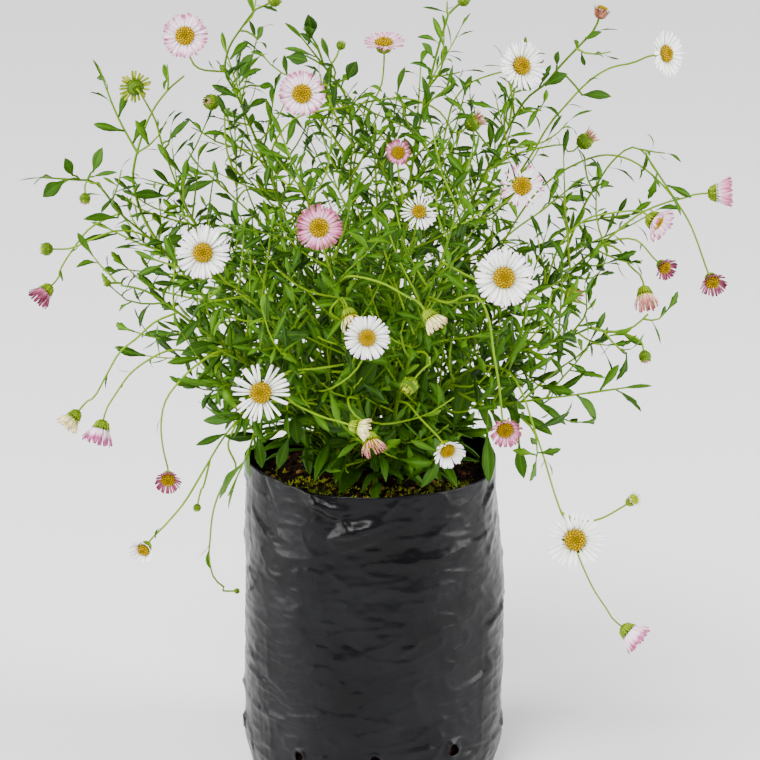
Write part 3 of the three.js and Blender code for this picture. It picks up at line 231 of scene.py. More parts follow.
# The gussets' welded folds stand up the film at these turns, from above the holes to a height
GUSSET_FOLDS = [(-143, 84, 0.3), (-149.5, 70, -0.2), (-34, 92, 0.22), (-24, 74, -0.15),
                (149, 88, 0.5), (142, 74, -0.4), (31, 90, 0.5), (38, 70, -0.4)]
ROUND_CREASES = 150


def from_photo(spot):
    """A place in the picture and a depth behind the bag's axis, as a real point."""
    column, row, depth = spot
    across = (column - PHOTO_MIDDLE) * MM_PER_PIXEL / VIEW_DISTANCE
    down = (row - PHOTO_MIDDLE) * MM_PER_PIXEL / VIEW_DISTANCE
    ray = VIEW_FORWARD + across * VIEW_RIGHT - down * VIEW_UP
    return EYE + ray * ((depth - EYE.y) / ray.y)


def on_film(column, row):
    """Where a place in the picture lies on the film, as (distance round it, height)."""
    depth = -BAG_RADIUS
    for _ in range(6):
        spot = from_photo((column, row, depth))
        across = min(0.999, max(-0.999, spot.x / bag_radius(spot.z)))
        depth = -bag_radius(spot.z) * math.sqrt(1 - across * across)
    return math.atan2(spot.y, spot.x) * BAG_RADIUS, spot.z


def level_way(turn):
    """A level way out from an axis, at a turn about it."""
    return Vector((math.cos(turn), math.sin(turn), 0))


creases = []
for start, end, width, rise in FRONT_CREASES:
    creases.append((Vector(on_film(*start)), Vector(on_film(*end)), width, rise))
draws = Draws(11)
for _ in range(ROUND_CREASES):
    # Away from the front the film is creased in the same way, mostly across and a little down
    turn = math.radians(draws.between(-20, 200))
    start = Vector((turn * BAG_RADIUS, draws.between(8, 130)))
    slope = math.radians(draws.between(-38, 38))
    length = draws.between(8, 26)
    end = start + length * Vector((math.cos(slope), math.sin(slope)))
    creases.append((start, end, draws.between(1.2, 2.6), draws.between(-0.8, 0.9)))
for turn, height, rise in GUSSET_FOLDS:
    column = math.radians(turn) * BAG_RADIUS
    creases.append((Vector((column, 4)), Vector((column, height)), 1.1, rise))


def crumple(turn, height):
    """How far the creased film stands off its smooth shape."""
    spot = Vector((turn * BAG_RADIUS, height))
    rise = 0
    for start, end, width, lift in creases:
        if not min(start.y, end.y) - CREASE_REACH < height < max(start.y, end.y) + CREASE_REACH:
            continue
        if not min(start.x, end.x) - CREASE_REACH < spot.x < max(start.x, end.x) + CREASE_REACH:
            continue
        way = end - start
        share = (spot - start).dot(way) / way.length_squared
        offset = spot - start - way * min(1, max(0, share))
        steep = 0.62 if way.cross(offset) > 0 else 1.5
        fade = 1 - smooth_step(abs(2 * share - 1), 0.3, 1.25)
        rise += lift * fade * math.exp(-(offset.length / (steep * width)) ** 1.15)
    around = level_way(turn) * BAG_RADIUS + Vector((0, 0, height))
    soft = noise.fractal(around * 0.055, 1.0, 2.0, 4)
    wide = 1 - 2 * abs(noise.noise(Vector((around.x * 0.06, around.y * 0.06, height * 0.17))))
    fine = 1 - 2 * abs(noise.noise(Vector((around.x * 0.12, around.y * 0.12, height * 0.36 + 9))))
    front = smooth_step(-math.sin(turn), -0.3, 0.5)
    return rise + 0.45 * soft + mix(0.6, 1, front) * (0.4 * wide ** 3 + 0.16 * fine ** 3) - 0.2


def finish_piece(shape, name, slot, materials, *nodes):
    """Brings a shape to metres and puts it in the scene for the solids that it stands for."""
    bmesh.ops.scale(shape, vec=(METRE,) * 3, verts=shape.verts)
    shape.normal_update()
    piece = show(name, shape_mesh(shape, name))
    for face in piece.data.polygons:
        face.use_smooth = True
    for material in materials:
        piece.data.materials.append(material)
    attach(piece, "root")
    if nodes:
        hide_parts(*nodes)
    return piece


def add_node(nodes, kind, inputs, **settings):
    """A new shader node: each input is set to a value, or linked from another node's output."""
    node = nodes.new("ShaderNode" + kind)
    for name, value in settings.items():
        setattr(node, name, value)
    for socket, value in inputs.items():
        if isinstance(value, bpy.types.NodeSocket):
            nodes.id_data.links.new(value, node.inputs[socket])
        else:
            node.inputs[socket].default_value = value
    return node


def wire(shader, socket, output):
    """Links one of the shader's sockets from another node's output."""
    shader.id_data.links.new(output, shader.inputs[socket])


def fine_noise(nodes, scale, detail, place=None, **settings):
    """A noise through the object's own space."""
    if place is None:
        place = add_node(nodes, "TexCoord", {}).outputs["Object"]
    inputs = {"Vector": place, "Scale": scale, "Detail": detail}
    return add_node(nodes, "TexNoise", inputs, **settings).outputs["Fac"]


def map_range(nodes, value, low, high, start, end):
    """A value brought from one range to another, and held at its ends."""
    inputs = {"Value": value, "From Min": low, "From Max": high, "To Min": start, "To Max": end}
    return add_node(nodes, "MapRange", inputs).outputs["Result"]


def colour_ramp(nodes, value, stops):
    """The colour that a value has along (position, colour) stops."""
    ramp = add_node(nodes, "ValToRGB", {"Fac": value})
    elements = ramp.color_ramp.elements
    for number, (position, colour) in enumerate(stops):
        stop = elements[number] if number < 2 else elements.new(position)
        stop.position = position
        stop.color = (*colour, 1)
    return ramp.outputs["Color"]


def roughen(nodes, shader, height, strength, distance):
    """Bumps too small for the mesh."""
    inputs = {"Height": height, "Strength": strength, "Distance": distance}
    wire(shader, "Normal", add_node(nodes, "Bump", inputs).outputs["Normal"])


def film_look():
    """Black film: clouds in its shine and its shade, and a fine crinkle stretched round it."""
    material, nodes, shader = plain_material("polythene_film", (0.003, 0.003, 0.0035), 0.2, 0.11, IOR=1.5)
    place = add_node(nodes, "TexCoord", {}).outputs["Object"]
    clouds = fine_noise(nodes, 45, 5, place)
    shades = [(0.35, (0.0022, 0.0022, 0.0027)), (0.7, (0.0055, 0.0055, 0.0066))]
    wire(shader, "Roughness", map_range(nodes, clouds, 0.3, 0.7, 0.2, 0.36))
    wire(shader, "Base Color", colour_ramp(nodes, clouds, shades))
    stretched = add_node(nodes, "Mapping", {"Vector": place, "Scale": (130, 130, 330)}).outputs["Vector"]
    crinkle = fine_noise(nodes, 1, 3, stretched, noise_type="RIDGED_MULTIFRACTAL")
    roughen(nodes, shader, crinkle, 0.16, 0.0006)
    return material


film = bmesh.new()
bmesh.ops.create_cone(film, segments=FILM_COLUMNS, radius1=BAG_FOOT_RADIUS, radius2=BAG_FOOT_RADIUS,
                      depth=BAG_HEIGHT, cap_ends=True, cap_tris=False)
bmesh.ops.translate(film, vec=(0, 0, BAG_HEIGHT / 2), verts=film.verts)
lid = [face for face in film.faces if face.normal.z > 0.5]
bmesh.ops.delete(film, geom=lid, context="FACES_ONLY")
upright = [edge for edge in film.edges if abs(edge.verts[0].co.z - edge.verts[1].co.z) > 1]
bmesh.ops.subdivide_edges(film, edges=upright, cuts=FILM_ROWS - 1, use_grid_fill=True)
base = [face for face in film.faces if face.normal.z < -0.5]
for inset in BASE_INSETS:
    bmesh.ops.inset_region(film, faces=base, thickness=inset, use_even_offset=True)
bmesh.ops.poke(film, faces=base)
for vert in film.verts:
    radius, height = math.hypot(vert.co.x, vert.co.y), vert.co.z
    if radius < 1e-3:
        continue
    turn = math.atan2(vert.co.y, vert.co.x)
    turn = turn - FINER_FRONT * math.cos(turn)
    if height < 1e-3:
        share = radius / BAG_FOOT_RADIUS
        gusset = 0.25 * (1 + math.cos(2 * turn)) * smooth_step(radius, 10, 40)
        vert.co = (radius * math.cos(turn), radius * math.sin(turn),
                   gusset * (1 - smooth_step(share, 0.9, 1.0)) * 0.6)
        continue
    free = smooth_step(height, SOIL_TOP - 3, BAG_HEIGHT)
    fold = crumple(turn, height) * smooth_step(height, 0, 8)
    held = max(-0.6 - free, fold / math.sqrt(1 + (fold / HIGHEST_FOLD) ** 2))
    out = bag_radius(height) + slack(turn, height) + held + 0.5
    vert.co = (out * math.cos(turn), out * math.sin(turn), height + rim_drop(turn, height))
# The holes are punched through the film: the net is cut away inside each and drawn to its edge
for number, (degrees, height) in enumerate(zip(DRAIN_TURNS, DRAIN_HEIGHTS)):
    turn = math.radians(degrees)
    middle = Vector((BAG_RADIUS * math.cos(turn), BAG_RADIUS * math.sin(turn), height))
    aside = Vector((-math.sin(turn), math.cos(turn), 0))
    radius = DRAIN_RADIUS * (1 + 0.12 * math.sin(5 * number))
    near = [vert for vert in film.verts if (vert.co - middle).length < HOLE_REACH and vert.co.z > 1]
    spans = {}
    for vert in near:
        offset = Vector(((vert.co - middle).dot(aside), vert.co.z - height))
        spans[vert] = (offset.length, offset)
    inside = [vert for vert in near if spans[vert][0] < 0.72 * radius]
    bmesh.ops.delete(film, geom=inside, context="VERTS")
    for vert in near:
        if not vert.is_valid:
            continue
        distance, offset = spans[vert]
        if vert.is_boundary:
            torn = radius * (1 + 0.12 * math.sin(3 * math.atan2(offset.y, offset.x) + number))
            moved = offset * (torn / distance)
            vert.co += aside * (moved.x - offset.x) + Vector((0, 0, moved.y - offset.y))
        lip = 0.9 * (1 - smooth_step(distance, 0.9 * radius, 1.9 * radius))
        vert.co += lip * level_way(turn)
bmesh.ops.recalc_face_normals(film, faces=film.faces)
if sum(face.normal.dot(face.calc_center_median()) for face in film.faces) < 0:
    bmesh.ops.reverse_faces(film, faces=film.faces)
bag = finish_piece(film, "bag_film", "bag_film", [film_look()], "bag")
wall = bag.modifiers.new("film", "SOLIDIFY")
wall.thickness = FILM * METRE
wall.offset = -1


# The potting mix
# Dark brown mix of peat and bark crumbs that fills the bag to just under its rim. Bits of
# moss grow on top, mostly towards the front.
SOIL_CROWN = 2.5
MIX_INSET = 1.35
MIX_REACH = 50
MIX_FOOT = 1.4
CRUMBS = 1500
MOSS_TUFTS = 260
MOSS_LEAFLETS = 5


def soil_level(x, y):
    """The height of the mix's top, a little crowned, with its lumps."""
    radius = math.hypot(x, y)
    crown = SOIL_CROWN * (1 - smooth_step(radius, 0.3 * BAG_RADIUS, 0.95 * BAG_RADIUS))
    lumps = noise.fractal(Vector((x, y, 3)) * 0.16, 1.0, 2.0, 4)
    return SOIL_TOP + crown + 0.9 * lumps


def mix_look():
    """Near black, with paler grains."""
    material, nodes, shader = plain_material("potting_mix", (0.008, 0.004, 0.002), 0.95, 0.1)
    grains = fine_noise(nodes, 420, 4)
    tones = [(0.35, (0.002, 0.001, 0.0006)), (0.72, (0.032, 0.012, 0.005))]
    wire(shader, "Base Color", colour_ramp(nodes, grains, tones))
    roughen(nodes, shader, grains, 0.8, 0.001)
    return material


def reckon(nodes, operation, *values):
    """What a sum on values, or on the outputs of other nodes, comes to."""
    return add_node(nodes, "Math", dict(enumerate(values)), operation=operation).outputs["Value"]


def own_shade(nodes):
    """The shade that each copy was laid with."""
    return add_node(nodes, "Attribute", {}, attribute_name="shade").outputs["Fac"]


def shaded_material(name, stops, roughness, scale, spread=0.35, specular=0.1):
    """A material whose colour runs through the stops with a piece's own shade and a fine noise."""
    material, nodes, shader = plain_material(name, stops[0][1], roughness, specular)
    speckle = fine_noise(nodes, scale, 3)
    centred = reckon(nodes, "SUBTRACT", speckle, 0.5)
    varied = reckon(nodes, "MULTIPLY_ADD", centred, spread, own_shade(nodes))
    wire(shader, "Base Color", colour_ramp(nodes, varied, stops))
    roughen(nodes, shader, speckle, 0.4, 0.0003)
    return material, nodes, shader


crumb_material = shaded_material(
    "bark_crumbs", [(0.0, (0.003, 0.0013, 0.0008)), (0.55, (0.016, 0.006, 0.0025)),
                    (0.8, (0.075, 0.022, 0.008)), (1.0, (0.26, 0.13, 0.04))], 0.9, 500)[0]
moss_material = shaded_material(
    "moss", [(0.0, (0.05, 0.09, 0.004)), (0.5, (0.24, 0.32, 0.006)), (1.0, (0.55, 0.58, 0.02))], 0.7, 300)[0]


def lay(into, template, place, shade=0.5, material=0):
    """Adds a copy of a small shape to a larger one, put in its place, with its own shade."""
    first_vert = len(into.verts)
    first_face = len(into.faces)
    into.from_mesh(template, face_normals=False, vertex_normals=False)
    into.verts.ensure_lookup_table()
    into.faces.ensure_lookup_table()
    fresh = into.verts[first_vert:]
    bmesh.ops.transform(into, matrix=place, verts=fresh)
    layer = into.verts.layers.float["shade"]
    for vert in fresh:
        vert[layer] = shade
    for face in into.faces[first_face:]:
        face.material_index = material


def frame_of(middle, across, along, up, scale=(1, 1, 1)):
    """A placing matrix from three directions, with a size along each."""
    columns = [across * scale[0], along * scale[1], up * scale[2]]
    turned = Matrix((columns[0], columns[1], columns[2])).transposed().to_4x4()
    turned.translation = middle
    return turned


def random_turn(draws):
    """The three directions of a crumb turned at random."""
    spun = Matrix.Rotation(draws.between(0, 6.28), 3, "Z")
    return [column.copy() for column in (spun @ Matrix.Rotation(draws.between(-1, 1), 3, "X")).col]


def turned_form(profile, sides):
    """A closed turned form about +Z, from a profile that starts and ends on the axis."""
    form = bmesh.new()
    knots = [form.verts.new((radius, 0, height)) for radius, height in profile]
    edges = [form.edges.new(pair) for pair in zip(knots, knots[1:])]
    bmesh.ops.spin(form, geom=edges, cent=(0, 0, 0), axis=(0, 0, 1), angle=2 * math.pi, steps=sides,
                   use_merge=True)
    bmesh.ops.remove_doubles(form, verts=form.verts, dist=0.001)
    bmesh.ops.recalc_face_normals(form, faces=form.faces)
    return form


def new_shape(mapped=False):
    """An empty shape to lay copies in, each with its own shade."""
    shape = bmesh.new()
    shape.verts.layers.float.new("shade")
    if mapped:
        shape.loops.layers.uv.new("UVMap")
    return shape


def mix_body():
    """The filling itself, lumpy on top and pressed into the bag's slack at its sides."""
    top_rings = (4, 8, 12, 16, 20, 24, 28, 32, 36, 40, 43, 46, 49)
    side_rings = (SOIL_TOP, 120, 105, 90, 75, 60, 45, 30, 24, 18, 12, 6)
    profile = [(0, SOIL_TOP + 1)] + [(radius, SOIL_TOP) for radius in top_rings]
    profile += [(bag_radius(height) - MIX_INSET, height) for height in side_rings]
    body = turned_form(profile + [(BAG_FOOT_RADIUS - 3, MIX_FOOT), (0, MIX_FOOT)], 120)
    for vert in body.verts:
        turn = math.atan2(vert.co.y, vert.co.x)
        radius = math.hypot(vert.co.x, vert.co.y)
        if vert.co.z > SOIL_TOP - 1:
            vert.co.z = soil_level(vert.co.x, vert.co.y)
        elif vert.co.z > 2:
            radius += slack(turn, vert.co.z) - 0.4 * noise.noise(vert.co * 0.3)
            vert.co.x = radius * math.cos(turn)
            vert.co.y = radius * math.sin(turn)
    return shape_mesh(body, "mix_body")


soil = new_shape()
lay(soil, mix_body(), Matrix.Identity(4))

crumb = bmesh.new()
bmesh.ops.create_icosphere(crumb, subdivisions=1, radius=1)
for vert in crumb.verts:
    vert.co *= 1 + 0.5 * noise.noise(vert.co * 2.3)
crumb_shape = shape_mesh(crumb, "crumb")
draws = Draws(5)
for _ in range(CRUMBS):
    turn = draws.between(0, 2 * math.pi)
    radius = MIX_REACH * math.sqrt(draws.next())
    x, y = radius * math.cos(turn), radius * math.sin(turn)
    size = 0.35 + 1.1 * draws.next() ** 3
    flat = draws.between(0.35, 0.9)
    middle = Vector((x, y, soil_level(x, y) + 0.15 * size))
    lay(soil, crumb_shape, frame_of(middle, *random_turn(draws), (1.5 * size, size, flat * size)),
        draws.next() ** 1.5, 1)

# A moss leaflet: a short tapered blade, a few to a tuft
blade = bmesh.new()
bmesh.ops.create_cone(blade, segments=4, radius1=0.16, radius2=0.03, depth=1, cap_ends=True)
bmesh.ops.translate(blade, vec=(0, 0, 0.5), verts=blade.verts)
blade_shape = shape_mesh(blade, "moss_leaflet")
for number in range(MOSS_TUFTS):
    turn = math.radians(draws.between(-165, -15) if number % 5 else draws.between(-180, 180))
    radius = MIX_REACH * math.sqrt(draws.between(0.25, 1))
    x, y = radius * math.cos(turn), radius * math.sin(turn)
    shade = draws.next()
    for _ in range(MOSS_LEAFLETS):
        lean = Vector((draws.between(-1, 1), draws.between(-1, 1), draws.between(0.25, 1.2))).normalized()
        across = lean.orthogonal().normalized()
        size = draws.between(0.8, 2.6)
        middle = Vector((x + draws.between(-1, 1), y + draws.between(-1, 1), soil_level(x, y) - 0.1))
        lay(soil, blade_shape, frame_of(middle, across, lean.cross(across), lean, (1, 2.2, size)), shade, 2)
finish_piece(soil, "potting_mix", "potting_mix", [mix_look(), crumb_material, moss_material], "soil")


# The leafy stems
# Twelve soft green stems, ribbed along, rise from the plant's crown in the mix. Each branches
# into side stems and into the bare stalks of its heads and buds.
GAP = 0.3
HOLE_DEPTH = 12
CUP_HEIGHT = 3.6
BLADE = 0.6
ROUTE_RADII = {"trunk": 1.15, "leafy": 0.8, "stalk": 0.62}
SAGS = {"trunk": 0.4, "leafy": 0.7, "stalk": 0.7}
TWIG_WIDTH = 1.1
TWIG_LENGTH = 34
TIP_TWIG_LENGTH = 15
LEAF_LENGTH = 14.5
LOW_LEAF_LENGTH = 22
LEAF_SLENDERNESS = 0.14
LEAF_PITCH = 6.3
SPRAY_SPACING = 90
GOLDEN_TURN = 2.39996
CURVE_STEPS = 200
# How far a stem keeps from others, and a twig from other stems
STEM_SPARE = 1.1
TWIG_SPARE = 0.9
CELL = 8
UP = Vector((0, 0, 1))


def trunk(*way, **tip):
    """A main stem, from its hole in the mix."""
    return dict(kind="trunk", way=way, **tip)


def leafy(start, *way, **tip):
    """A leafy side stem, from the nearest point of the way that has the number start."""
    return dict(kind="leafy", start=start, way=way, **tip)


def stalk(start, *way, **tip):
    """A thin stalk that carries a head or a bud."""
    return dict(kind="stalk", start=start, way=way, **tip)


def daisy(name, form, colour, at, size, face):
    """A head: its form, its colour, where its middle is, its width and which way it faces."""
    return dict(name=name, form=form, colour=colour, at=at, size=size, face=face)


def closed(at, size, face, rays=0):
    """A bud, with the number of rays that it shows."""
    return dict(at=at, size=size, face=face, rays=rays)


# Each place is (column, row, depth): where the stem shows in the picture, and how far it lies
# behind the bag's axis in millimetres. A face is how far it turns right, up and to the viewer.
STEMS = [
    ("stem_left_low", (-15, -12), [
        trunk((338, 440, -18), (300, 405, -30), (262, 372, -38), (222, 345, -42), (178, 312, -42),
            (150, 293, -40), (131, 287, -38), (118, 285, -37),
            bud=closed((107, 283, -37), 3.4, (-1, 0, 0.1))),
        stalk(0, (178, 312, -42), (155, 322, -44), (137, 338, -46), (120, 352, -46), (107, 374, -46),
            (95, 396, -46),
            head=daisy("cream_far_left", "cup", "cream", (73, 418, -46), 13, (-0.6, -0.75, 0.2))),
        stalk(0, (235, 352, -41), (205, 353, -44), (172, 350, -48), (150, 359, -50), (130, 374, -50),
            (115, 395, -50),
            head=daisy("pink_lower_left", "cup", "pale", (101, 429, -50), 16, (-0.25, -0.95, 0.15))),
        stalk(0, (250, 362, -40), (225, 350, -50), (198, 364, -55), (178, 383, -57), (165, 402, -57),
            (161, 425, -57), (163, 448, -57),
            head=daisy("magenta_low_left", "half", "magenta", (168, 479, -58), 13, (0.05, -0.5, 0.86))),
        leafy(0, (325, 428, -24), (290, 412, -40), (262, 406, -48), (240, 418, -52), (222, 440, -54),
            (205, 468, -56), bare=True),
        stalk(4, (205, 468, -56), (186, 500, -57), (168, 522, -58),
            head=daisy("white_low_left", "half", "white", (144, 549, -58), 13, (-0.35, -0.5, 0.8))),
        stalk(4, (210, 460, -55), (204, 485, -52), bud=closed((197, 508, -50), 3.6, (-0.2, -1, 0.1))),
        stalk(4, (236, 422, -52), (228, 445, -44), (236, 468, -34), (222, 487, -28), (213, 512, -24),
            (210, 540, -22), (209, 558, -20), (214, 578, -18), (226, 589, -16),
            bud=closed((237, 591, -15), 2.6, (1, 0, 0))),
    ]),
    ("stem_left_far", (-19, 1), [
        trunk((325, 435, -2), (280, 385, 2), (235, 335, 6), (200, 293, 8), (165, 252, 10), (140, 230, 10),
            (120, 213, 8), (103, 190, 5), (92, 181, 3), (80, 180, 2)),
        stalk(0, (103, 190, 5), (98, 182, -1), (90, 184, -3), bud=closed((85, 199, -3), 5, (0, -1, 0.2))),
        stalk(0, (150, 239, 10), (135, 232, 4), (115, 231, 1), (95, 238, 0), (75, 247, 0),
            bud=closed((46, 249, 0), 6, (-1, 0, 0.1))),
        stalk(0, (120, 213, 8), (106, 219, 12), (88, 230, 12), (71, 252, 10), (60, 270, 9),
            head=daisy("magenta_far_left", "cup", "magenta", (45, 292, 8), 14, (-0.65, -0.7, 0.3))),
        leafy(0, (165, 252, 10), (149, 228, 18), (138, 203, 20), (133, 175, 18), (140, 142, 16),
            (152, 112, 14), (168, 90, 12), (184, 76, 10)),
    ]),
    ("stem_left_top", (-13, 11), [
        trunk((345, 410, 16), (318, 330, 26), (295, 250, 32), (270, 175, 32), (250, 125, 30), (236, 93, 28),
            (225, 72, 26), (229, 48, 24), (240, 30, 22), (254, 11, 20),
            bud=closed((275, 0, 18), 6, (0.8, 0.4, 0.2))),
        stalk(0, (225, 72, 26), (213, 71, 22), (200, 69, 18), (191, 60, 14),
            head=daisy("pale_top_left", "open", "pale", (185, 36, 10), 19, (-0.05, 0.1, 1))),
        stalk(0, (262, 155, 31), (240, 175, 20), (228, 155, 15), (225, 130, 14),
            bud=closed((211, 102, 12), 7.2, (-0.5, 0.1, 0.7))),
        leafy(0, (318, 330, 26), (270, 300, 24), (235, 262, 24), (205, 235, 24), (185, 205, 24),
            (172, 172, 24), (162, 145, 23), bare=True),
        stalk(3, (162, 145, 23), (156, 122, 22), (149, 108, 20),
            bud=closed((135, 87, 16), 7.5, (-0.3, 0.35, -0.9), rays=9)),
        stalk(0, (275, 190, 32), (272, 150, 14), (296, 118, 2), (345, 107, -4), (385, 99, -6),
            (415, 100, -6), (440, 112, -6), bud=closed((473, 123, -6), 7.5, (0.85, 0.5, 0.2), rays=5)),
    ]),
    ("stem_front_left", (-9, -20), [
        trunk((338, 428, -34), (305, 375, -50), (272, 325, -58), (240, 290, -58), (208, 277, -54),
            (190, 271, -52)),
        stalk(0, (240, 290, -58), (224, 280, -60),
            head=daisy("white_left", "open", "white", (203, 253, -66), 22, (-0.1, 0.1, 1))),
        stalk(0, (325, 405, -42), (300, 402, -58), (278, 402, -66),
            head=daisy("white_front_left", "sparse", "white", (261, 393, -80), 24, (-0.1, 0.12, 1))),
    ]),
    ("stem_front", (1, -22), [
        trunk((362, 415, -40), (348, 360, -54), (338, 300, -60), (326, 255, -60), (310, 205, -54),
            (296, 170, -48)),
        stalk(0, (331, 275, -60), (326, 258, -66),
            head=daisy("pink_centre", "open", "pink", (319, 228, -76), 19, (0.05, 0.15, 1))),
        stalk(0, (341, 320, -58), (330, 312, -68), (338, 300, -76),
            head=daisy("cream_centre", "wilted", "cream", (350, 317, -78), 14, (0.3, -0.85, 0.4))),
        stalk(0, (352, 375, -52), (352, 362, -64), (360, 350, -76),
            head=daisy("white_centre", "open", "white", (367, 338, -92), 18.5, (0.05, 0.05, 1))),
        stalk(0, (350, 365, -54), (318, 370, -66), (290, 374, -74), (278, 386, -80), (290, 405, -84),
            (308, 415, -86), (328, 422, -87),
            head=daisy("cream_front", "cup", "cream", (358, 427, -88), 12, (0.95, -0.2, 0.2))),
        stalk(0, (358, 400, -46), (348, 398, -60), (352, 412, -70),
            head=daisy("cream_low", "wilted", "salmon", (371, 441, -74), 15, (0.35, -0.9, 0.3))),
        stalk(0, (333, 285, -60), (350, 276, -74), (382, 283, -84), (406, 296, -88),
            head=daisy("cream_right", "cup", "cream", (431, 318, -90), 13, (0.6, -0.75, 0.2))),
    ]),
    ("stem_front_right", (11, -19), [
        trunk((394, 422, -36), (404, 378, -48), (416, 335, -56), (430, 290, -60), (445, 250, -60),
            (455, 215, -56), (462, 188, -50)),
        stalk(0, (408, 350, -52), (424, 352, -62), (430, 363, -72),
            bud=closed((409, 386, -80), 7.5, (-0.55, -0.7, 0.45))),
        stalk(0, (400, 400, -42), (408, 404, -58), (420, 418, -70),
            head=daisy("white_low_front", "half", "white", (447, 450, -78), 16, (0.35, -0.55, 0.75))),
        stalk(0, (428, 298, -60), (448, 303, -66), (464, 296, -70), (479, 298, -73), (489, 320, -75),
            (494, 355, -76), (499, 385, -76),
            head=daisy("pink_low_right", "half", "pink", (505, 429, -76), 16, (0.1, -0.5, 0.86))),
        stalk(0, (441, 262, -60), (468, 276, -62), (488, 284, -68),
            head=daisy("white_right", "open", "white", (504, 278, -86), 24, (0.05, 0.1, 1))),
    ]),
    ("stem_top", (-4, 6), [
        trunk((366, 405, 6), (356, 330, 8), (348, 250, 8), (350, 180, 6), (352, 130, 4), (345, 95, 3),
            (324, 66, 1)),
        stalk(0, (328, 71, 1), (333, 60, 0), bud=closed((341, 45, 0), 4.2, (0.4, 1, 0))),
        stalk(0, (350, 160, 5), (332, 135, -8), (316, 116, -20),
            head=daisy("pink_upper_left", "open", "pale", (302, 94, -36), 19, (0, 0.1, 1))),
        stalk(0, (350, 190, 6), (358, 145, 14), (369, 110, 15), (381, 86, 15),
            head=daisy("pink_top", "open", "pink", (384, 44, 14), 17.5, (0, 0.88, 0.48))),
    ]),
    ("stem_top_right", (7, 3), [
        trunk((384, 405, 0), (393, 330, -4), (402, 250, -8), (410, 180, -8), (416, 140, -8), (424, 105, -8),
            (432, 70, -8), (440, 40, -8), (447, 18, -8), bud=closed((464, 0, -8), 5.5, (0.7, 0.6, 0))),
        stalk(0, (406, 215, -8), (401, 192, -18),
            head=daisy("salmon_centre", "half", "pink", (398, 153, -34), 12.5, (0.05, 0.1, 1))),
        stalk(0, (401, 262, -7), (409, 248, -26), (414, 236, -42),
            head=daisy("white_sparse", "sparse", "white", (419, 212, -58), 15, (0.05, 0.25, 1))),
        stalk(0, (404, 230, -8), (428, 185, 2), (441, 150, 6), (447, 125, 8), (453, 103, 8), (466, 86, 8),
            (484, 77, 8),
            head=daisy("white_upper_right", "open", "white", (521, 66, 8), 21, (0.45, 0.1, 0.88))),
    ]),
    ("stem_right_top", (13, 11), [
        trunk((402, 415, 16), (426, 340, 22), (450, 260, 24), (475, 195, 22), (500, 145, 20),
            (524, 102, 18), (545, 84, 17), (562, 64, 16), (583, 42, 15),
            head=daisy("brown_top_right", "dried", "brown", (602, 10, 14), 9, (0.35, 0.9, 0.1))),
        stalk(0, (470, 207, 22), (505, 190, 28), (530, 157, 30), (547, 128, 30), (566, 105, 30),
            (588, 82, 30), (610, 68, 30), (632, 63, 30),
            head=daisy("white_far_right", "open", "white", (665, 54, 30), 20, (0.74, 0.05, 0.67))),
        stalk(0, (462, 228, 23), (485, 215, -2), (504, 203, -26),
            head=daisy("faded_right", "sparse", "pale", (522, 186, -50), 18, (0, 0.1, 1))),
        stalk(0, (487, 170, 21), (515, 155, 14), (545, 147, 12), (565, 145, 12),
            bud=closed((585, 141, 12), 7.5, (0.75, 0.6, 0.1), rays=5)),
    ]),
    ("stem_right", (19, 1), [
        trunk((418, 425, 2), (452, 372, 4), (490, 328, 6), (530, 298, 6), (560, 278, 6), (585, 258, 6),
            (610, 237, 6), bare=True),
        stalk(0, (610, 237, 6), (638, 215, 6), (662, 204, 6), (684, 198, 6),
            head=daisy("pink_far_right", "cup", "pink", (717, 193, 6), 17, (1, 0.05, 0.1))),
        stalk(0, (545, 288, 6), (560, 245, -4), (585, 220, -8), (612, 213, -10),
            head=daisy("pale_right", "half", "pale", (655, 221, -12), 18, (0.75, -0.5, 0.4))),
        stalk(0, (585, 258, 6), (602, 246, 16), (620, 239, 20), (638, 241, 22),
            head=daisy("magenta_right", "half", "magenta", (664, 267, 22), 12, (0.45, -0.45, 0.77))),
        stalk(3, (604, 245, 17), (618, 249, 14), (630, 266, 12),
            head=daisy("salmon_right", "cup", "salmon", (645, 295, 10), 15, (0.15, -0.9, 0.35))),
        stalk(0, (470, 350, 5), (482, 300, 18), (500, 250, 26), (525, 207, 26), (550, 180, 24),
            (578, 163, 22), (604, 155, 20), (628, 159, 18), (650, 173, 16), (672, 196, 14), (691, 226, 12),
            head=daisy("magenta_far_right", "half", "magenta", (712, 281, 10), 14, (0.2, -0.6, 0.77))),
        leafy(0, (555, 282, 6), (568, 245, 14), (582, 210, 14), (597, 184, 12), (611, 163, 10),
            (629, 148, 8), (643, 151, 6), (651, 163, 4)),
    ]),
    ("stem_right_low", (17, -11), [
        trunk((414, 430, -22), (447, 388, -30), (482, 364, -32), (520, 351, -32), (560, 340, -30),
            (592, 327, -28)),
        leafy(0, (590, 328, -28), (612, 332, -24), (633, 327, -22), (648, 314, -20), bare=True),
        stalk(1, (620, 331, -23), (634, 338, -26), bud=closed((645, 357, -28), 5.6, (0.2, -0.9, 0.2))),
        stalk(0, (520, 351, -32), (545, 320, -36),
            bud=closed((572, 294, -38), 6, (0.9, -0.3, 0.3), rays=5)),
        leafy(0, (450, 386, -30), (478, 402, -36), (510, 403, -38), (540, 399, -38), (566, 396, -36),
            (588, 393, -35)),
        stalk(0, (482, 364, -32), (508, 372, -48), (523, 395, -56), (533, 425, -60), (544, 458, -62),
            (554, 492, -63), (564, 520, -60), (573, 542, -55), (583, 567, -54), (594, 590, -54),
            (606, 608, -54),
            head=daisy("pale_hanging_right", "cup", "pale", (629, 632, -54), 17, (0.75, -0.6, 0.15))),
        stalk(5, (560, 510, -61), (566, 524, -61),
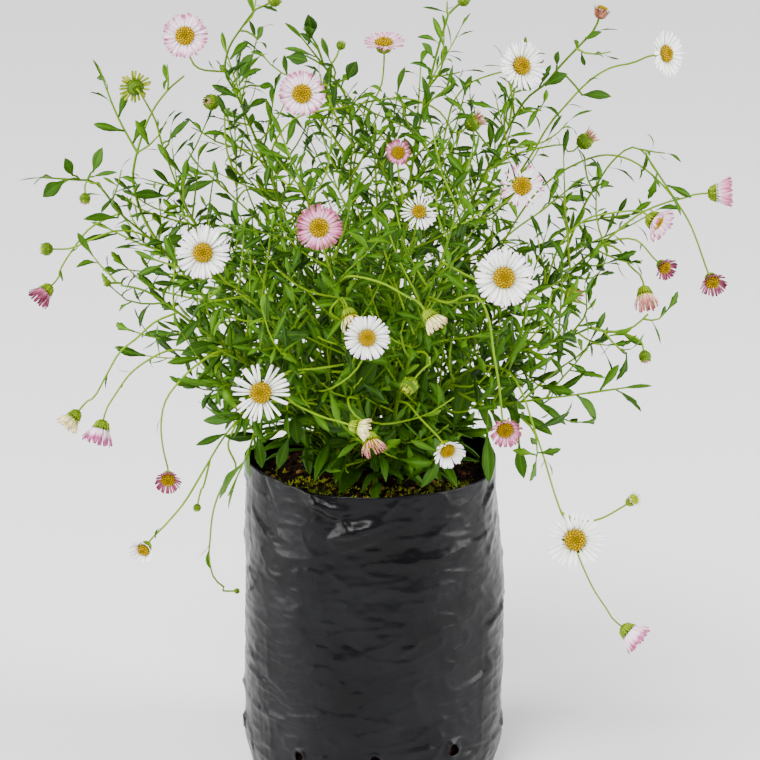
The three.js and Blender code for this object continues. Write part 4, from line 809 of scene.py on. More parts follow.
            head=daisy("white_hanging", "sparse", "white", (575, 540, -74), 24.5, (0.05, 0.1, 1))),
        stalk(5, (561, 513, -61), (580, 521, -54), (600, 519, -52),
            head=daisy("white_small_right", "half", "white", (633, 500, -52), 9, (0.55, 0.4, 0.65))),
    ]),
    ("stem_back", (2, 18), [
        trunk((375, 395, 32), (380, 310, 58), (378, 225, 70), (376, 180, 71)),
        leafy(0, (376, 380, 38), (335, 320, 56), (292, 262, 70), (255, 218, 78), (228, 192, 80)),
        leafy(0, (377, 370, 42), (425, 320, 56), (472, 268, 70), (512, 232, 78), (540, 212, 82)),
        leafy(0, (375, 400, 30), (345, 385, 52), (305, 372, 70), (272, 370, 80)),
        leafy(0, (375, 398, 31), (408, 385, 54), (446, 370, 72), (480, 368, 80)),
        leafy(0, (378, 350, 48), (374, 335, 68), (372, 340, 84), (372, 356, 94)),
    ]),
]


def facing(face):
    right, up, towards = face
    return (right * VIEW_RIGHT + up * VIEW_UP - towards * VIEW_FORWARD).normalized()


class SmoothLine:
    """A smooth line through points, even in speed along its length."""

    def __init__(self, points):
        self.points = points
        self.lengths = [0]
        before = points[0]
        for step in range(1, CURVE_STEPS + 1):
            spot = self.point(step / CURVE_STEPS)
            self.lengths.append(self.lengths[-1] + (spot - before).length)
            before = spot
        self.length = self.lengths[-1]

    def point(self, share):
        points = self.points
        last = len(points) - 1
        span = last * share
        first = min(int(span), last - 1)
        rest = span - first
        p1, p2 = points[first], points[first + 1]
        p0 = points[first - 1] if first > 0 else 2 * points[0] - points[1]
        p3 = points[first + 2] if first + 2 <= last else 2 * points[last] - points[last - 1]
        t0, t1 = 0.5 * (p2 - p0), 0.5 * (p3 - p1)
        square = rest * rest
        return (p1 + t0 * rest + (3 * (p2 - p1) - 2 * t0 - t1) * square
                + (2 * (p1 - p2) + t0 + t1) * square * rest)

    def step_at(self, share):
        wanted = share * self.length
        i = bisect_right(self.lengths, wanted) - 1
        if i >= CURVE_STEPS:
            return 1.0
        return (i + (wanted - self.lengths[i]) / (self.lengths[i + 1] - self.lengths[i])) / CURVE_STEPS

    def at(self, share):
        return self.point(self.step_at(share))

    def along(self, share):
        step = self.step_at(share)
        low, high = max(0, step - 0.0001), min(1, step + 0.0001)
        return (self.point(high) - self.point(low)).normalized()


class Line:
    """A smooth route as the straight stretches that the solid stem is made of."""

    def __init__(self, points, sag):
        self.curve = SmoothLine(points)
        count = math.ceil(self.curve.length / 1.5) + 1
        fine = [self.curve.at(i / count) for i in range(count + 1)]
        self.corners = [fine[0]]
        start = 0
        for end in range(2, len(fine)):
            if all(self.distance(fine[start], fine[end], spot) <= sag for spot in fine[start + 1:end]):
                continue
            start = end - 1
            self.corners.append(fine[start])
        self.corners.append(fine[-1])
        self.steps = len(self.corners) - 1
        self.lengths = [0]
        for low, high in zip(self.corners, self.corners[1:]):
            self.lengths.append(self.lengths[-1] + (high - low).length)
        self.length = self.lengths[-1]

    @staticmethod
    def distance(low, high, spot):
        way = high - low
        share = min(1, max(0, (spot - low).dot(way) / way.length_squared))
        return (low + way * share - spot).length

    def stretch_at(self, share):
        return min(self.steps - 1, bisect_right(self.lengths, share * self.length) - 1)

    def at(self, share):
        i = self.stretch_at(share)
        rest = (share * self.length - self.lengths[i]) / (self.lengths[i + 1] - self.lengths[i])
        return self.corners[i].lerp(self.corners[i + 1], rest)

    def along(self, share):
        i = self.stretch_at(share)
        return (self.corners[i + 1] - self.corners[i]).normalized()

    def spots(self, count):
        return [self.at(i / count) for i in range(count + 1)]

    def nearest(self, point):
        return min(self.spots(CURVE_STEPS), key=lambda spot: (spot - point).length)


# Places taken up so far: a ball (middle, radius, node, route) for each short stretch
taken = {}


def cell_of(point):
    return math.floor(point.x / CELL), math.floor(point.y / CELL), math.floor(point.z / CELL)


def take(balls):
    for ball in balls:
        taken.setdefault(cell_of(ball[0]), []).append(ball)


def is_clear(balls, node, route, margin, own_head=None):
    """Whether every ball keeps clear of other nodes, and of the same node's other routes."""
    for middle, radius, _, _ in balls:
        i, j, k = cell_of(middle)
        for cell in product((i - 1, i, i + 1), (j - 1, j, j + 1), (k - 1, k, k + 1)):
            for other, thick, owner, way in taken.get(cell, ()):
                if owner == own_head or owner == node and (route is None or way == route):
                    continue
                if (middle - other).length < radius + thick + (0.1 if owner == node else margin):
                    return False
    return True


def balls_along(line, radius, node, route):
    count = max(2, math.ceil(line.length / 2))
    return [(spot, radius, node, route) for spot in line.spots(count)]


def head_frame(middle, face):
    turned = Vector((0, 0, 1)).rotation_difference(face).to_matrix().to_4x4()
    turned.translation = middle
    return turned


def head_balls(middle, face, radius, lean, node):
    balls = []
    placed = head_frame(middle, face)
    root = 0.3 * radius
    for ring in range(4):
        beyond = (radius - root) * ring / 3
        out = root + beyond * math.cos(lean)
        count = 5 if ring == 0 else 6 + 4 * ring
        for i in range(count):
            turn = 2 * math.pi * i / count
            spot = Vector((out * math.cos(turn), out * math.sin(turn), beyond * math.sin(lean)))
            balls.append((placed @ spot, 1.3, node, 0))
    return balls


# How each kind of head carries its rays: their lean off the flat towards the face
HEAD_LEANS = {"open": 8, "sparse": -4, "half": 38, "cup": 66, "wilted": 58, "dried": 35}
BENDS = [0, 3, -3, 6, -6, 9, -9, 12, -12, 16, -16, 20, -20, 25, -25]

routes = []
shown_heads = []
for stem_name, hole, ways in STEMS:
    for route in ways:
        entry = dict(route, stem=stem_name, hole=hole, id=len(routes), line=None)
        routes.append(entry)
        tip = route.get("head") or route.get("bud")
        if not tip:
            continue
        entry["at"] = from_photo(tip["at"])
        entry["face"] = facing(tip["face"])
        radius = tip["size"] / 2
        if "head" in route:
            lean = math.radians(HEAD_LEANS[tip["form"]])
            take(head_balls(entry["at"], entry["face"], radius, lean, "bloom_" + tip["name"]))
            shown_heads.append((entry["at"], radius))
        else:
            take([(entry["at"], radius + 0.3, stem_name, entry["id"])])


def route_points(entry):
    """The way points of a route with its start and the neck of its head or bud."""
    points = [from_photo(spot) for spot in entry["way"]]
    if "start" in entry:
        family = [other["line"] for other in routes if other["stem"] == entry["stem"]]
        points[0] = family[entry["start"]].nearest(points[0])
    else:
        foot = SOIL_TOP - HOLE_DEPTH + 1
        points[:0] = [Vector((*entry["hole"], foot + rise)) for rise in (0, 8, 16, 22)]
    if "at" in entry:
        back = GAP + 0.6 * CUP_HEIGHT if "head" in entry else 0.35 * entry["bud"]["size"]
        points.append(entry["at"] - entry["face"] * (back + 6))
        points.append(entry["at"] - entry["face"] * back)
    return points


for entry in routes:
    # Each stem is bent a little nearer or further in its middle until it is clear
    points = route_points(entry)
    fixed = 0 if "start" in entry else 4
    own_head = "bloom_" + entry["head"]["name"] if "head" in entry else None
    for bend in BENDS:
        bent = []
        for number, point in enumerate(points):
            share = max(0, number - fixed) / (len(points) - 1 - fixed)
            bent.append(point + Vector((0, bend * math.sin(math.pi * share), 0)))
        line = Line(bent, SAGS[entry["kind"]])
        balls = balls_along(line, ROUTE_RADII[entry["kind"]], entry["stem"], entry["id"])
        if is_clear(balls, entry["stem"], None, STEM_SPARE, own_head):
            break
    entry["line"] = line
    take(balls)


def hides_head(point, spare):
    """Whether a point stands before a head, which the picture shows whole."""
    for middle, radius in shown_heads:
        towards = (EYE - middle).normalized()
        offset = point - middle
        nearer = offset.dot(towards)
        if nearer >= -1 and (offset - towards * nearer).length < radius + spare:
            return True
    return False


# The leaves
# Small green leaves, narrow and pointed, many with a tooth or two on each side, one at a
# time along the stems and their side twigs. Those low down near the rim are broader and
# longer. Each is a soft blade with a folded midrib, paler along its veins.
SINGLE_SPACING = 5
SHOOT_SPACING = 4.1
SHOOT_LEAF_SPACING = 3.7
STALK_LEAF_SPACING = 30
CROWN_LEAVES = 7
# Where twigs and leaves may be: how far past the solids' box, over the mix, over the rim and
# from the axis, and below which height only thin twigs hang at the sides
PAST_SOLIDS = 4
OVER_MIX = 3.5
OVER_RIM = 3
OVER_TWIG = 7
RIM_INSIDE = 50
RIM_OUTSIDE = 58
TWIG_OUTSIDE = 62
HANGING_HEIGHT = 158
# The plant's dome of full foliage
DENSE_MIDDLE = Vector((0, 4, 212))
DENSE_REACH = Vector((97, 90, 99))
# How thick each kind of stem is at its foot and at its tip, and how pale it is
STEM_LOOKS = {"trunk": (1.15, 0.5, 0.45), "leafy": (0.8, 0.42, 0.6), "stalk": (0.5, 0.42, 0.75)}


def leaf_length_at(height):
    return mix(LEAF_LENGTH, LOW_LEAF_LENGTH, 1 - smooth_step(height, 140, 190))


class Spray:
    """A side twig with its leaves, the same as in the solid model."""

    def __init__(self, line, upper, seed, leaf_length):
        self.line, self.upper, self.leaves = line, upper, []
        draws = Draws(seed)
        pitch = LEAF_PITCH * leaf_length / LEAF_LENGTH
        for i in range(max(2, math.floor((line.length - 4) / pitch))):
            self.leaves.append(dict(
                root=5 + i * pitch, side=1 if i % 2 == 0 else -1,
                length=leaf_length * draws.between(0.8, 1.12),
                slant=math.radians(draws.between(38, 55)), lean=math.radians(draws.between(-40, 48)),
                toothed=draws.next() < 0.2))
        self.tip_length = leaf_length * 0.8
        self.end = self.leaves[-1]["root"] + 2.5

    def directions(self, along):
        share = min(1, max(0, along / self.line.length))
        heading = self.line.curve.along(share)
        up = (self.upper - heading * heading.dot(self.upper)).normalized()
        return self.line.curve.at(share), heading, up, heading.cross(up)

    def bend(self, across, along, rise):
        spot, heading, up, aside = self.directions(along)
        return spot + heading * max(0, along - self.line.length) + aside * across + up * rise

    def leaned(self, leaf, share):
        beyond = share * leaf["length"] * math.sin(leaf["slant"])
        along = leaf["root"] + share * leaf["length"] * math.cos(leaf["slant"])
        lean = leaf["lean"]
        out = TWIG_WIDTH / 2 + beyond * math.cos(lean)
        return self.bend(leaf["side"] * out, along, beyond * math.sin(lean) - 0.012 * beyond * beyond)

    def balls(self, node, route):
        found = balls_along(self.line, TWIG_WIDTH / 2, node, route)
        for leaf in self.leaves:
            for share in (0.25, 0.45, 0.65, 0.85, 1):
                radius = 0.7 if share > 0.9 else LEAF_SLENDERNESS * leaf["length"]
                found.append((self.leaned(leaf, share), radius, node, route))
        for share in (0.3, 0.6, 1):
            found.append((self.bend(0, self.end + share * self.tip_length, 0), 1.5, node, route))
        return found


def twig_way(along, turn, lift):
    """Which way a side twig or a leaf heads from its stem."""
    aside = UP.cross(along)
    aside = aside.normalized() if aside.length >= 0.1 else Vector((1, 0, 0))
    out = aside * math.cos(turn) + along.cross(aside) * math.sin(turn)
    return out, along * math.cos(lift) + out * math.sin(lift)


def spray_from(entry, share, lift, reach, seed):
    """A twig with its leaves from a stem, turned until it is clear, or None."""
    spot, along = entry["line"].at(share), entry["line"].along(share)
    node, route = entry["stem"], entry["id"]
    for attempt in range(8):
        size = 0.75 * reach if attempt > 4 else reach
        out, heading = twig_way(along, seed + 1.05 * attempt, lift)
        line = Line([spot, spot + heading * 0.5 * size, spot + heading * size + along * 0.12 * size], 0.6)
        spray = Spray(line, out if lift < 0.1 else along, seed, leaf_length_at(line.curve.points[2].z))
        balls = spray.balls(node, route)
        free = balls[2:]
        spots = [ball[0] for ball in free]
        if any(at.z < SOIL_TOP + OVER_TWIG and math.hypot(at.x, at.y) < TWIG_OUTSIDE for at in spots):
            continue
        if any(hides_head(at, 1) for at in spots) or not is_clear(free, node, route, TWIG_SPARE):
            continue
        take(balls)
        return spray
    return None


sprays = {stem_name: [] for stem_name, _, _ in STEMS}
for entry in routes:
    if entry["kind"] != "stalk" and "at" not in entry and not entry.get("bare"):
        sprays[entry["stem"]].append(spray_from(entry, 1, 0.02, TIP_TWIG_LENGTH, entry["id"]))
leafy_routes = [entry for entry in routes if entry["kind"] != "stalk"]
for entry in leafy_routes:
    count = max(1, math.floor(entry["line"].length * 0.77 / SPRAY_SPACING + 0.5))
    for i in range(count):
        draws = Draws(entry["id"] * 131 + 7 * i + 3)
        lift = math.radians(draws.between(42, 62))
        reach = TWIG_LENGTH * draws.between(0.8, 1.15)
        sprays[entry["stem"]].append(spray_from(
            entry, 0.15 + 0.77 * (i + 0.5) / count, lift, reach, GOLDEN_TURN * i + entry["id"]))

# Half widths along a leaf, as (share of length, share of half width)
PLAIN_EDGE = [(0, 0.22), (0.22, 0.4), (0.45, 0.86), (0.65, 1.0), (0.86, 0.66), (1, 0.12)]
TOOTHED_EDGE = [(0, 0.2), (0.28, 0.34), (0.5, 0.85), (0.64, 1.2), (0.72, 0.74), (0.86, 0.7), (1, 0.1)]
BROAD_EDGE = [(0, 0.16), (0.1, 0.2), (0.2, 0.36), (0.32, 0.66), (0.44, 0.88), (0.54, 0.98), (0.62, 1.0),
              (0.69, 0.96), (0.73, 0.84), (0.82, 0.68), (0.91, 0.4), (1, 0.05)]


def edge_at(edge, share):
    low = max(i for i in range(len(edge) - 1) if edge[i][0] <= share)
    part = (share - edge[low][0]) / (edge[low + 1][0] - edge[low][0])
    return mix(edge[low][1], edge[low + 1][1], part)


def paint_along(leaf, edge):
    """Gives a leaf its UV: across from edge to edge, and along from root to tip."""
    layer = leaf.loops.layers.uv.active
    for face in leaf.faces:
        for loop in face.loops:
            share = min(1, max(0, loop.vert.co.y))
            loop[layer].uv = (0.5 + 0.5 * loop.vert.co.x / edge_at(edge, share), share)


def bend_leaf(leaf, curl, fold, twist, sway):
    """Folds a flat leaf on its rib, twists it, sways it aside and curls it along an arc."""
    for vert in leaf.verts:
        across, share, rise = vert.co
        turn = twist * share
        angle = curl * share
        vert.co = Vector((across * math.cos(turn) + sway * share * share, math.sin(angle) / curl,
                          rise + fold * abs(across) + 0.12 * across * math.sin(turn)
                          - (1 - math.cos(angle)) / curl))


def end_leaf(leaf, name, edge, bends):
    bmesh.ops.recalc_face_normals(leaf, faces=leaf.faces)
    paint_along(leaf, edge)
    bend_leaf(leaf, *bends)
    return shape_mesh(leaf, name)


def narrow_leaf(name, edge, curl, fold, twist=0.0, sway=0.0):
    """A narrow leaf one unit long and two half widths across: thick at its rib, thin at its edge."""
    leaf = bmesh.new()
    leaf.loops.layers.uv.new("UVMap")
    bmesh.ops.create_cone(leaf, segments=4, radius1=1, radius2=1, depth=1, cap_ends=True)
    rising = [side for side in leaf.edges if abs(side.verts[0].co.z - side.verts[1].co.z) > 0.5]
    bmesh.ops.subdivide_edges(leaf, edges=rising, cuts=len(edge) - 2, use_grid_fill=True)
    for vert in leaf.verts:
        share, width = edge[round((vert.co.z + 0.5) * (len(edge) - 1))]
        vert.co = Vector((vert.co.x * width, share, 0.014 * vert.co.y * width))
    return end_leaf(leaf, name, edge, (curl, fold, twist, sway))


def broad_leaf(name, edge, columns, thickness, curl, fold, twist=0.0, sway=0.0):
    """A broad leaf one unit long and two half widths across, folded on its rib and wavy."""
    leaf = bmesh.new()
    leaf.loops.layers.uv.new("UVMap")
    bmesh.ops.create_grid(leaf, x_segments=columns, y_segments=len(edge) - 1, size=0.5)
    for vert in leaf.verts:
        share, width = edge[round((vert.co.y + 0.5) * (len(edge) - 1))]
        across = 2 * vert.co.x * width
        vert.co = Vector((across, share, 0.012 * math.sin(11 * share + 3 * across) * abs(across)))
    bmesh.ops.solidify(leaf, geom=leaf.faces[:], thickness=thickness)
    return end_leaf(leaf, name, edge, (curl, fold, twist, sway))


LEAF_SHAPES = [
    narrow_leaf("plain_leaf", PLAIN_EDGE, 0.3, 0.02, 0.0, 0.6),
    narrow_leaf("arched_leaf", PLAIN_EDGE, 1.0, 0.025, 0.7, -0.9),
    narrow_leaf("lifted_leaf", PLAIN_EDGE, -0.55, 0.02, -0.6, 1.1),
    narrow_leaf("hooked_leaf", PLAIN_EDGE, 1.6, 0.02, -0.5, 0.7),
    narrow_leaf("twisted_leaf", PLAIN_EDGE, 0.8, 0.015, 1.3, -1.5),
]
TOOTHED_SHAPES = [
    narrow_leaf("toothed_leaf", TOOTHED_EDGE, 0.35, 0.02, 0.2, -0.6),
    narrow_leaf("toothed_arched_leaf", TOOTHED_EDGE, 1.0, 0.02, -0.6, 0.9),
]
BROAD_SHAPES = [
    broad_leaf("broad_leaf", BROAD_EDGE, 4, 0.014, 0.35, 0.035, 0.0, 0.3),
    broad_leaf("broad_arched_leaf", BROAD_EDGE, 4, 0.014, 1.0, 0.04, 0.5, -0.6),
    broad_leaf("broad_curled_leaf", BROAD_EDGE, 4, 0.014, 0.65, 0.05, -0.8, 0.7),
]
OPEN_SHAPES = [
    broad_leaf("open_leaf", BROAD_EDGE, 4, 0.014, 0.3, 0.035, 0.0, 0.3),
    broad_leaf("open_turned_leaf", BROAD_EDGE, 4, 0.014, 0.3, 0.05, 0.2, -0.3),
]


def leaf_look():
    """Green, with a paler midrib and paler slanting veins along the leaf's UV."""
    material, nodes, shader = shaded_material(
        "leaf", [(0.0, (0.008, 0.03, 0.001)), (0.35, (0.023, 0.073, 0.001)), (0.7, (0.05, 0.135, 0.001)),
                 (1.0, (0.12, 0.24, 0.001))], 0.5, 260, 0.3)
    seam = add_node(nodes, "UVMap", {}).outputs["UV"]
    parts = add_node(nodes, "SeparateXYZ", {0: seam}).outputs
    off_rib = reckon(nodes, "ABSOLUTE", reckon(nodes, "SUBTRACT", parts["X"], 0.5))
    slanted = reckon(nodes, "MULTIPLY_ADD", off_rib, -0.55, parts["Y"])
    veins = map_range(nodes, reckon(nodes, "PINGPONG", slanted, 0.06), 0.0, 0.014, 0.16, 0.0)
    rib = map_range(nodes, off_rib, 0.0, 0.09, 0.35, 0.0)
    plain = shader.inputs["Base Color"].links[0].from_socket
    paler = {"Factor": reckon(nodes, "MAXIMUM", rib, veins), "A": plain, "B": (0.09, 0.21, 0.002, 1)}
    wire(shader, "Base Color", add_node(nodes, "Mix", paler, data_type="RGBA").outputs["Result"])
    return material


stem_material = shaded_material(
    "stem", [(0.0, (0.03, 0.07, 0.001)), (0.4, (0.065, 0.14, 0.001)), (0.75, (0.11, 0.21, 0.001)),
             (1.0, (0.16, 0.28, 0.001))], 0.5, 220, 0.25)[0]
cup_material = shaded_material(
    "cup", [(0.0, (0.016, 0.05, 0.001)), (0.45, (0.085, 0.155, 0.001)), (0.8, (0.22, 0.3, 0.003)),
            (1.0, (0.44, 0.48, 0.04))], 0.5, 500, 0.3)[0]
withered_material = shaded_material(
    "withered", [(0.0, (0.05, 0.015, 0.006)), (0.5, (0.19, 0.065, 0.035)), (1.0, (0.5, 0.25, 0.17))],
    0.8, 500, 0.4)[0]


def leaf_on(into, root, along, upper, length, half, shade, shapes, draws):
    """Lays one leaf with its root on a stem, heading along, with its face to upper."""
    heading = along.normalized()
    up = (upper - heading * heading.dot(upper)).normalized()
    shape = shapes[int(draws.next() * len(shapes))]
    lay(into, shape, frame_of(root, heading.cross(up), heading, up, (half, length, length)), shade, 1)


def stem_tubes(into, ways, name):
    """Round stems as thick as their radii along smooth ways: [(points, radii, shade)]."""
    for shade_step in range(4):
        curve = bpy.data.curves.new(name, "CURVE")
        curve.dimensions = "3D"
        curve.bevel_depth = 1
        curve.bevel_resolution = 1
        curve.use_fill_caps = True
        for points, radii, shade in ways:
            if min(3, int(shade * 4)) != shade_step:
                continue
            spline = curve.splines.new("POLY")
            spline.points.add(len(points) - 1)
            for knot, point, radius in zip(spline.points, points, radii):
                knot.co = (*point, 1)
                knot.radius = radius
        if not curve.splines:
            continue
        holder = show(name, curve)
        bpy.context.view_layer.update()
        ready = holder.evaluated_get(bpy.context.evaluated_depsgraph_get())
        mesh = bpy.data.meshes.new_from_object(ready)
        bpy.data.objects.remove(holder)
        lay(into, mesh, Matrix.Identity(4), (shade_step + 0.5) / 4, 0)
        bpy.data.meshes.remove(mesh)


def in_reach(point):
    """Whether a point is inside the plant's own reach and clear of the bag and the mix."""
    low, high = cad_box
    spare = PAST_SOLIDS
    if not all(low[i] / METRE - spare < point[i] < high[i] / METRE + spare for i in range(3)):
        return False
    radius = math.hypot(point.x, point.y)
    if radius < RIM_INSIDE:
        return point.z > SOIL_TOP + OVER_MIX
    if radius < RIM_OUTSIDE:
        return point.z > BAG_HEIGHT + OVER_RIM
    return True


def is_beside_bag(point):
    """Whether a point is out over the sides of the rim, where only thin twigs hang."""
    return point.z < HANGING_HEIGHT and abs(point.x) > RIM_INSIDE


def outward(point):
    """Which way a leaf's face turns: away from the plant's middle, mostly to its front or back."""
    offset = point - DENSE_MIDDLE
    return Vector((0.6 * offset.x, offset.y + math.copysign(30, offset.y), offset.z)).normalized()


# The broad leaves that show whole in the picture: where each blade starts and ends there, and
# its width in millimetres. Each has a stalk from the nearest stem.
BROAD_LEAVES = [
    ((359.5, 452), (345, 490), 7), ((310.6, 435), (308, 475), 4.3), ((413, 395), (376.5, 416.5), 6),
    ((453.5, 428), (471.5, 376), 7), ((487, 431), (487, 482), 4.6), ((353, 442), (324, 443), 4),
    ((336, 379), (299, 378), 4.6), ((355, 394), (373.6, 361), 5.5), ((257, 435), (263.6, 467), 4),
    ((289, 437), (279.6, 469), 4), ((294.6, 414.6), (295.6, 443), 5), ((373.6, 454), (379, 471), 4),
    ((400, 450), (394, 475), 4), ((519, 443), (522, 478), 4), ((167.5, 196.5), (132, 193.5), 3.7),
    ((167.5, 142), (189, 121), 3), ((217, 179.6), (185, 192.5), 3.5), ((248.5, 188.5), (290, 203), 4.5),
    ((221, 343.7), (181, 352.6), 5), ((203, 317), (175, 344.7), 3.5), ((272, 337), (308, 333), 5),
    ((318, 348.6), (345, 352.6), 5), ((185, 234), (166, 246), 4), ((64.7, 181.5), (42, 195), 5),
    ((73, 176), (65, 160.5), 3.5), ((92, 177), (116, 171), 1.8), ((93, 172), (102, 150), 4),
    ((118.7, 218), (84, 217.5), 3), ((581, 95), (611, 95), 3.5), ((545, 86), (565, 72), 4),
    ((557, 66), (556, 52), 2.5), ((585, 40), (600, 32), 2.5), ((311.6, 38), (311, 16), 4.5),
    ((313.6, 44), (301, 34), 2.5), ((347.6, 80), (353.6, 62), 4.5), ((433.6, 58), (423.6, 42), 3),
    ((238.8, 78), (252, 56), 5), ((258, 40), (261, 26), 3.5), ((286, 57), (308, 59), 5),
    ((258, 86), (272, 87), 3),
]
shown_leaves = []


def picture_place(point):
    """Where a real point shows in the picture."""
    towards = point - EYE
    scale = VIEW_DISTANCE / towards.dot(VIEW_FORWARD) / MM_PER_PIXEL
    return Vector((PHOTO_MIDDLE + towards.dot(VIEW_RIGHT) * scale,
                   PHOTO_MIDDLE - towards.dot(VIEW_UP) * scale))


def in_front(column, row, depth):
    """A place in the picture at a depth, or nearer where the bag or the mix would be in the way."""
    for _ in range(60):
        spot = from_photo((column, row, depth))
        if in_reach(spot) and in_reach(spot - 2 * UP):
            break
        depth -= 2
    return spot


def hides_leaf(point):
    """Whether a point stands before a leaf that the picture shows whole."""
    place = picture_place(point)
    for start, way, width, depth in shown_leaves:
        if point.y < depth + 4:
            share = min(1, max(0, (place - start).dot(way) / way.length_squared))
            if (place - start - share * way).length < 1.3 * width:
                return True
    return False


def read_leaves(draws):
    """The leaves read from the picture: (stem, stalk, root, heading, upper, length, half, shapes)."""
    spots = [(entry["stem"], spot, picture_place(spot)) for entry in leafy_routes
             for spot in entry["line"].spots(60)]
    for root_place, tip_place, width in BROAD_LEAVES:
        stem, start, _ = min(spots, key=lambda item: (item[2] - Vector(root_place)).length
                             + 0.08 * abs(item[1].y + 15) + (90 if item[1].z < SOIL_TOP + 6 else 0))
        root = in_front(*root_place, start.y - 4)
        tip = in_front(*tip_place, root.y - 5)
        upper = -VIEW_FORWARD + 0.6 * UP + draws.between(-0.5, 0.5) * VIEW_RIGHT
        middle = 0.5 * (start + root) + 0.15 * (root - start).length * UP
        stalk_line = SmoothLine([start, middle, root + 0.04 * (tip - root)])
        length = (tip - root).length
        heading = tip - root + 0.15 * length * upper.normalized()
        shown_leaves.append((Vector(root_place), Vector(tip_place) - Vector(root_place), width, root.y))
        yield stem, stalk_line, root, heading, upper, 1.02 * length, 0.62 * width, OPEN_SHAPES


def crown_leaf(stem_name, hole, trunk_line, draws):
    """A long leaf from the foot of a stem, out over the mix, or None where there is no room."""
    for _ in range(6):
        rise = draws.between(3, 24)
        start = min((trunk_line.curve.at(i / 80) for i in range(40)),
                    key=lambda spot: abs(spot.z - SOIL_TOP - rise))
        out = math.atan2(hole[1], hole[0]) + draws.between(-1.3, 1.3)
        lift = draws.between(0.15, 1.1)
        way = Vector((math.cos(out) * math.cos(lift), math.sin(out) * math.cos(lift), math.sin(lift)))
        root = start + way * draws.between(7, 22)
        length = draws.between(15, 25)
        heading = (way - 0.35 * UP).normalized()
        tip = root + heading * length - 0.25 * length * UP
        half_way = root + heading * 0.5 * length - 0.06 * length * UP
        if not all(in_reach(spot - 1.5 * UP) for spot in (root, half_way, tip)):
            continue
        if any(hides_head(spot, 3) or hides_leaf(spot) for spot in (tip, half_way)):
            continue
        bent = [start, start + way * 0.6 * (root - start).length + UP, root + 0.5 * heading]
        half = length * draws.between(0.1, 0.14)
        return stem_name, SmoothLine(bent), root, heading, UP + 0.3 * way, length, half, BROAD_SHAPES
    return None


def wide_leaves():
    """All the leaves with stalks of their own."""
    draws = Draws(909)
    found = list(read_leaves(draws))
    for stem_name, hole, _ in STEMS:
        trunk_line = next(entry["line"] for entry in routes if entry["stem"] == stem_name)
        found += [crown_leaf(stem_name, hole, trunk_line, draws) for _ in range(CROWN_LEAVES)]
    return [leaf for leaf in found if leaf]


def crowding(point):
    """How crowded the foliage is: full inside the plant's dome, thin at its open edges."""
    offset = point - DENSE_MIDDLE
    away = math.sqrt(sum((offset[i] / DENSE_REACH[i]) ** 2 for i in range(3)))
    return 1 - smooth_step(away, 0.78, 1.1)


def shoots_on(entry):
    """The finer twigs between the sprays: they bend up to the light and stay clear of heads."""
    line = entry["line"]
    node = entry["stem"]
    shoots = []
    bare = 6 if "start" in entry else 14
    count = max(2, int((line.length - bare) / SHOOT_SPACING))
    for i in range(count):
        draws = Draws(entry["id"] * 17 + i * 3 + 1)
        share = (bare + (line.length - bare) * (i + draws.next()) / count) / line.length
        if share > 0.985:
            continue
        spot, along = line.curve.at(share), line.curve.along(share)
        crowd = crowding(spot)
        if draws.next() > mix(0.12, 1, crowd) * mix(0.5, 1, smooth_step(spot.z, 148, 205)):
            continue
        for attempt in range(6):
            turn = GOLDEN_TURN * i + 1.3 * attempt + entry["id"]
            lift = math.radians(draws.between(38, 70))
            reach = draws.between(18, 52) * mix(0.4, 1 - 0.15 * share, crowd) * (1 - 0.12 * attempt)
            heading = twig_way(along, turn, lift)[1]
            rise = UP * reach * draws.between(0.0, 0.4)
            sway = heading.cross(UP) * reach * draws.between(-0.2, 0.2)
            points = [spot, spot + heading * 0.4 * reach - 0.6 * sway,
                      spot + heading * 0.75 * reach + rise * 0.35 + 0.4 * sway,
                      spot + heading * 0.96 * reach + rise + 1.3 * sway]
            curve = SmoothLine(points)
            steps = max(3, int(reach / 5))
            way = [curve.at(step / steps) for step in range(steps + 1)]
            free = way[1:]
            if not all(in_reach(point) for point in free):
                continue
            if any(hides_head(point, 2.5) for point in free):
                continue
            if not is_clear([(point, 0.3, node, -1) for point in free[1:]], "", None, 0.2):
                continue
            take([(point, 0.4, "shoot", -1) for point in free])
            shoots.append((curve, way, reach, draws))
            break
    return shoots


def thinning(points, thick, thin, shade):
    """A way that thins evenly to its tip, with its radii and its shade."""
    last = len(points) - 1
    return points, [mix(thick, thin, i / last) for i in range(last + 1)], shade


def has_room(root, heading, length, spare):
    """Whether a leaf keeps inside the plant's reach and hides nothing that the picture shows."""
    tip, middle = root + heading * length, root + heading * 0.5 * length
    if not in_reach(tip) or is_beside_bag(tip):
        return False
    return not any(hides_leaf(spot) or hides_head(spot, spare) for spot in (tip, middle))


def leaves_on_stalk(line, draws):
    """The one or two narrow leaves of a bare stalk."""
    for _ in range(int(line.length / STALK_LEAF_SPACING)):
        share = draws.between(0.1, 0.75)
        heading = twig_way(line.curve.along(share), draws.between(0, 6), 0.6)[1]
        root = line.curve.at(share)
        length = draws.between(4, 9)
        if in_reach(root + heading * length) and not hides_head(root + heading * length, 2):
            yield root, heading, UP, length, 0.09 * length, 0.6, LEAF_SHAPES


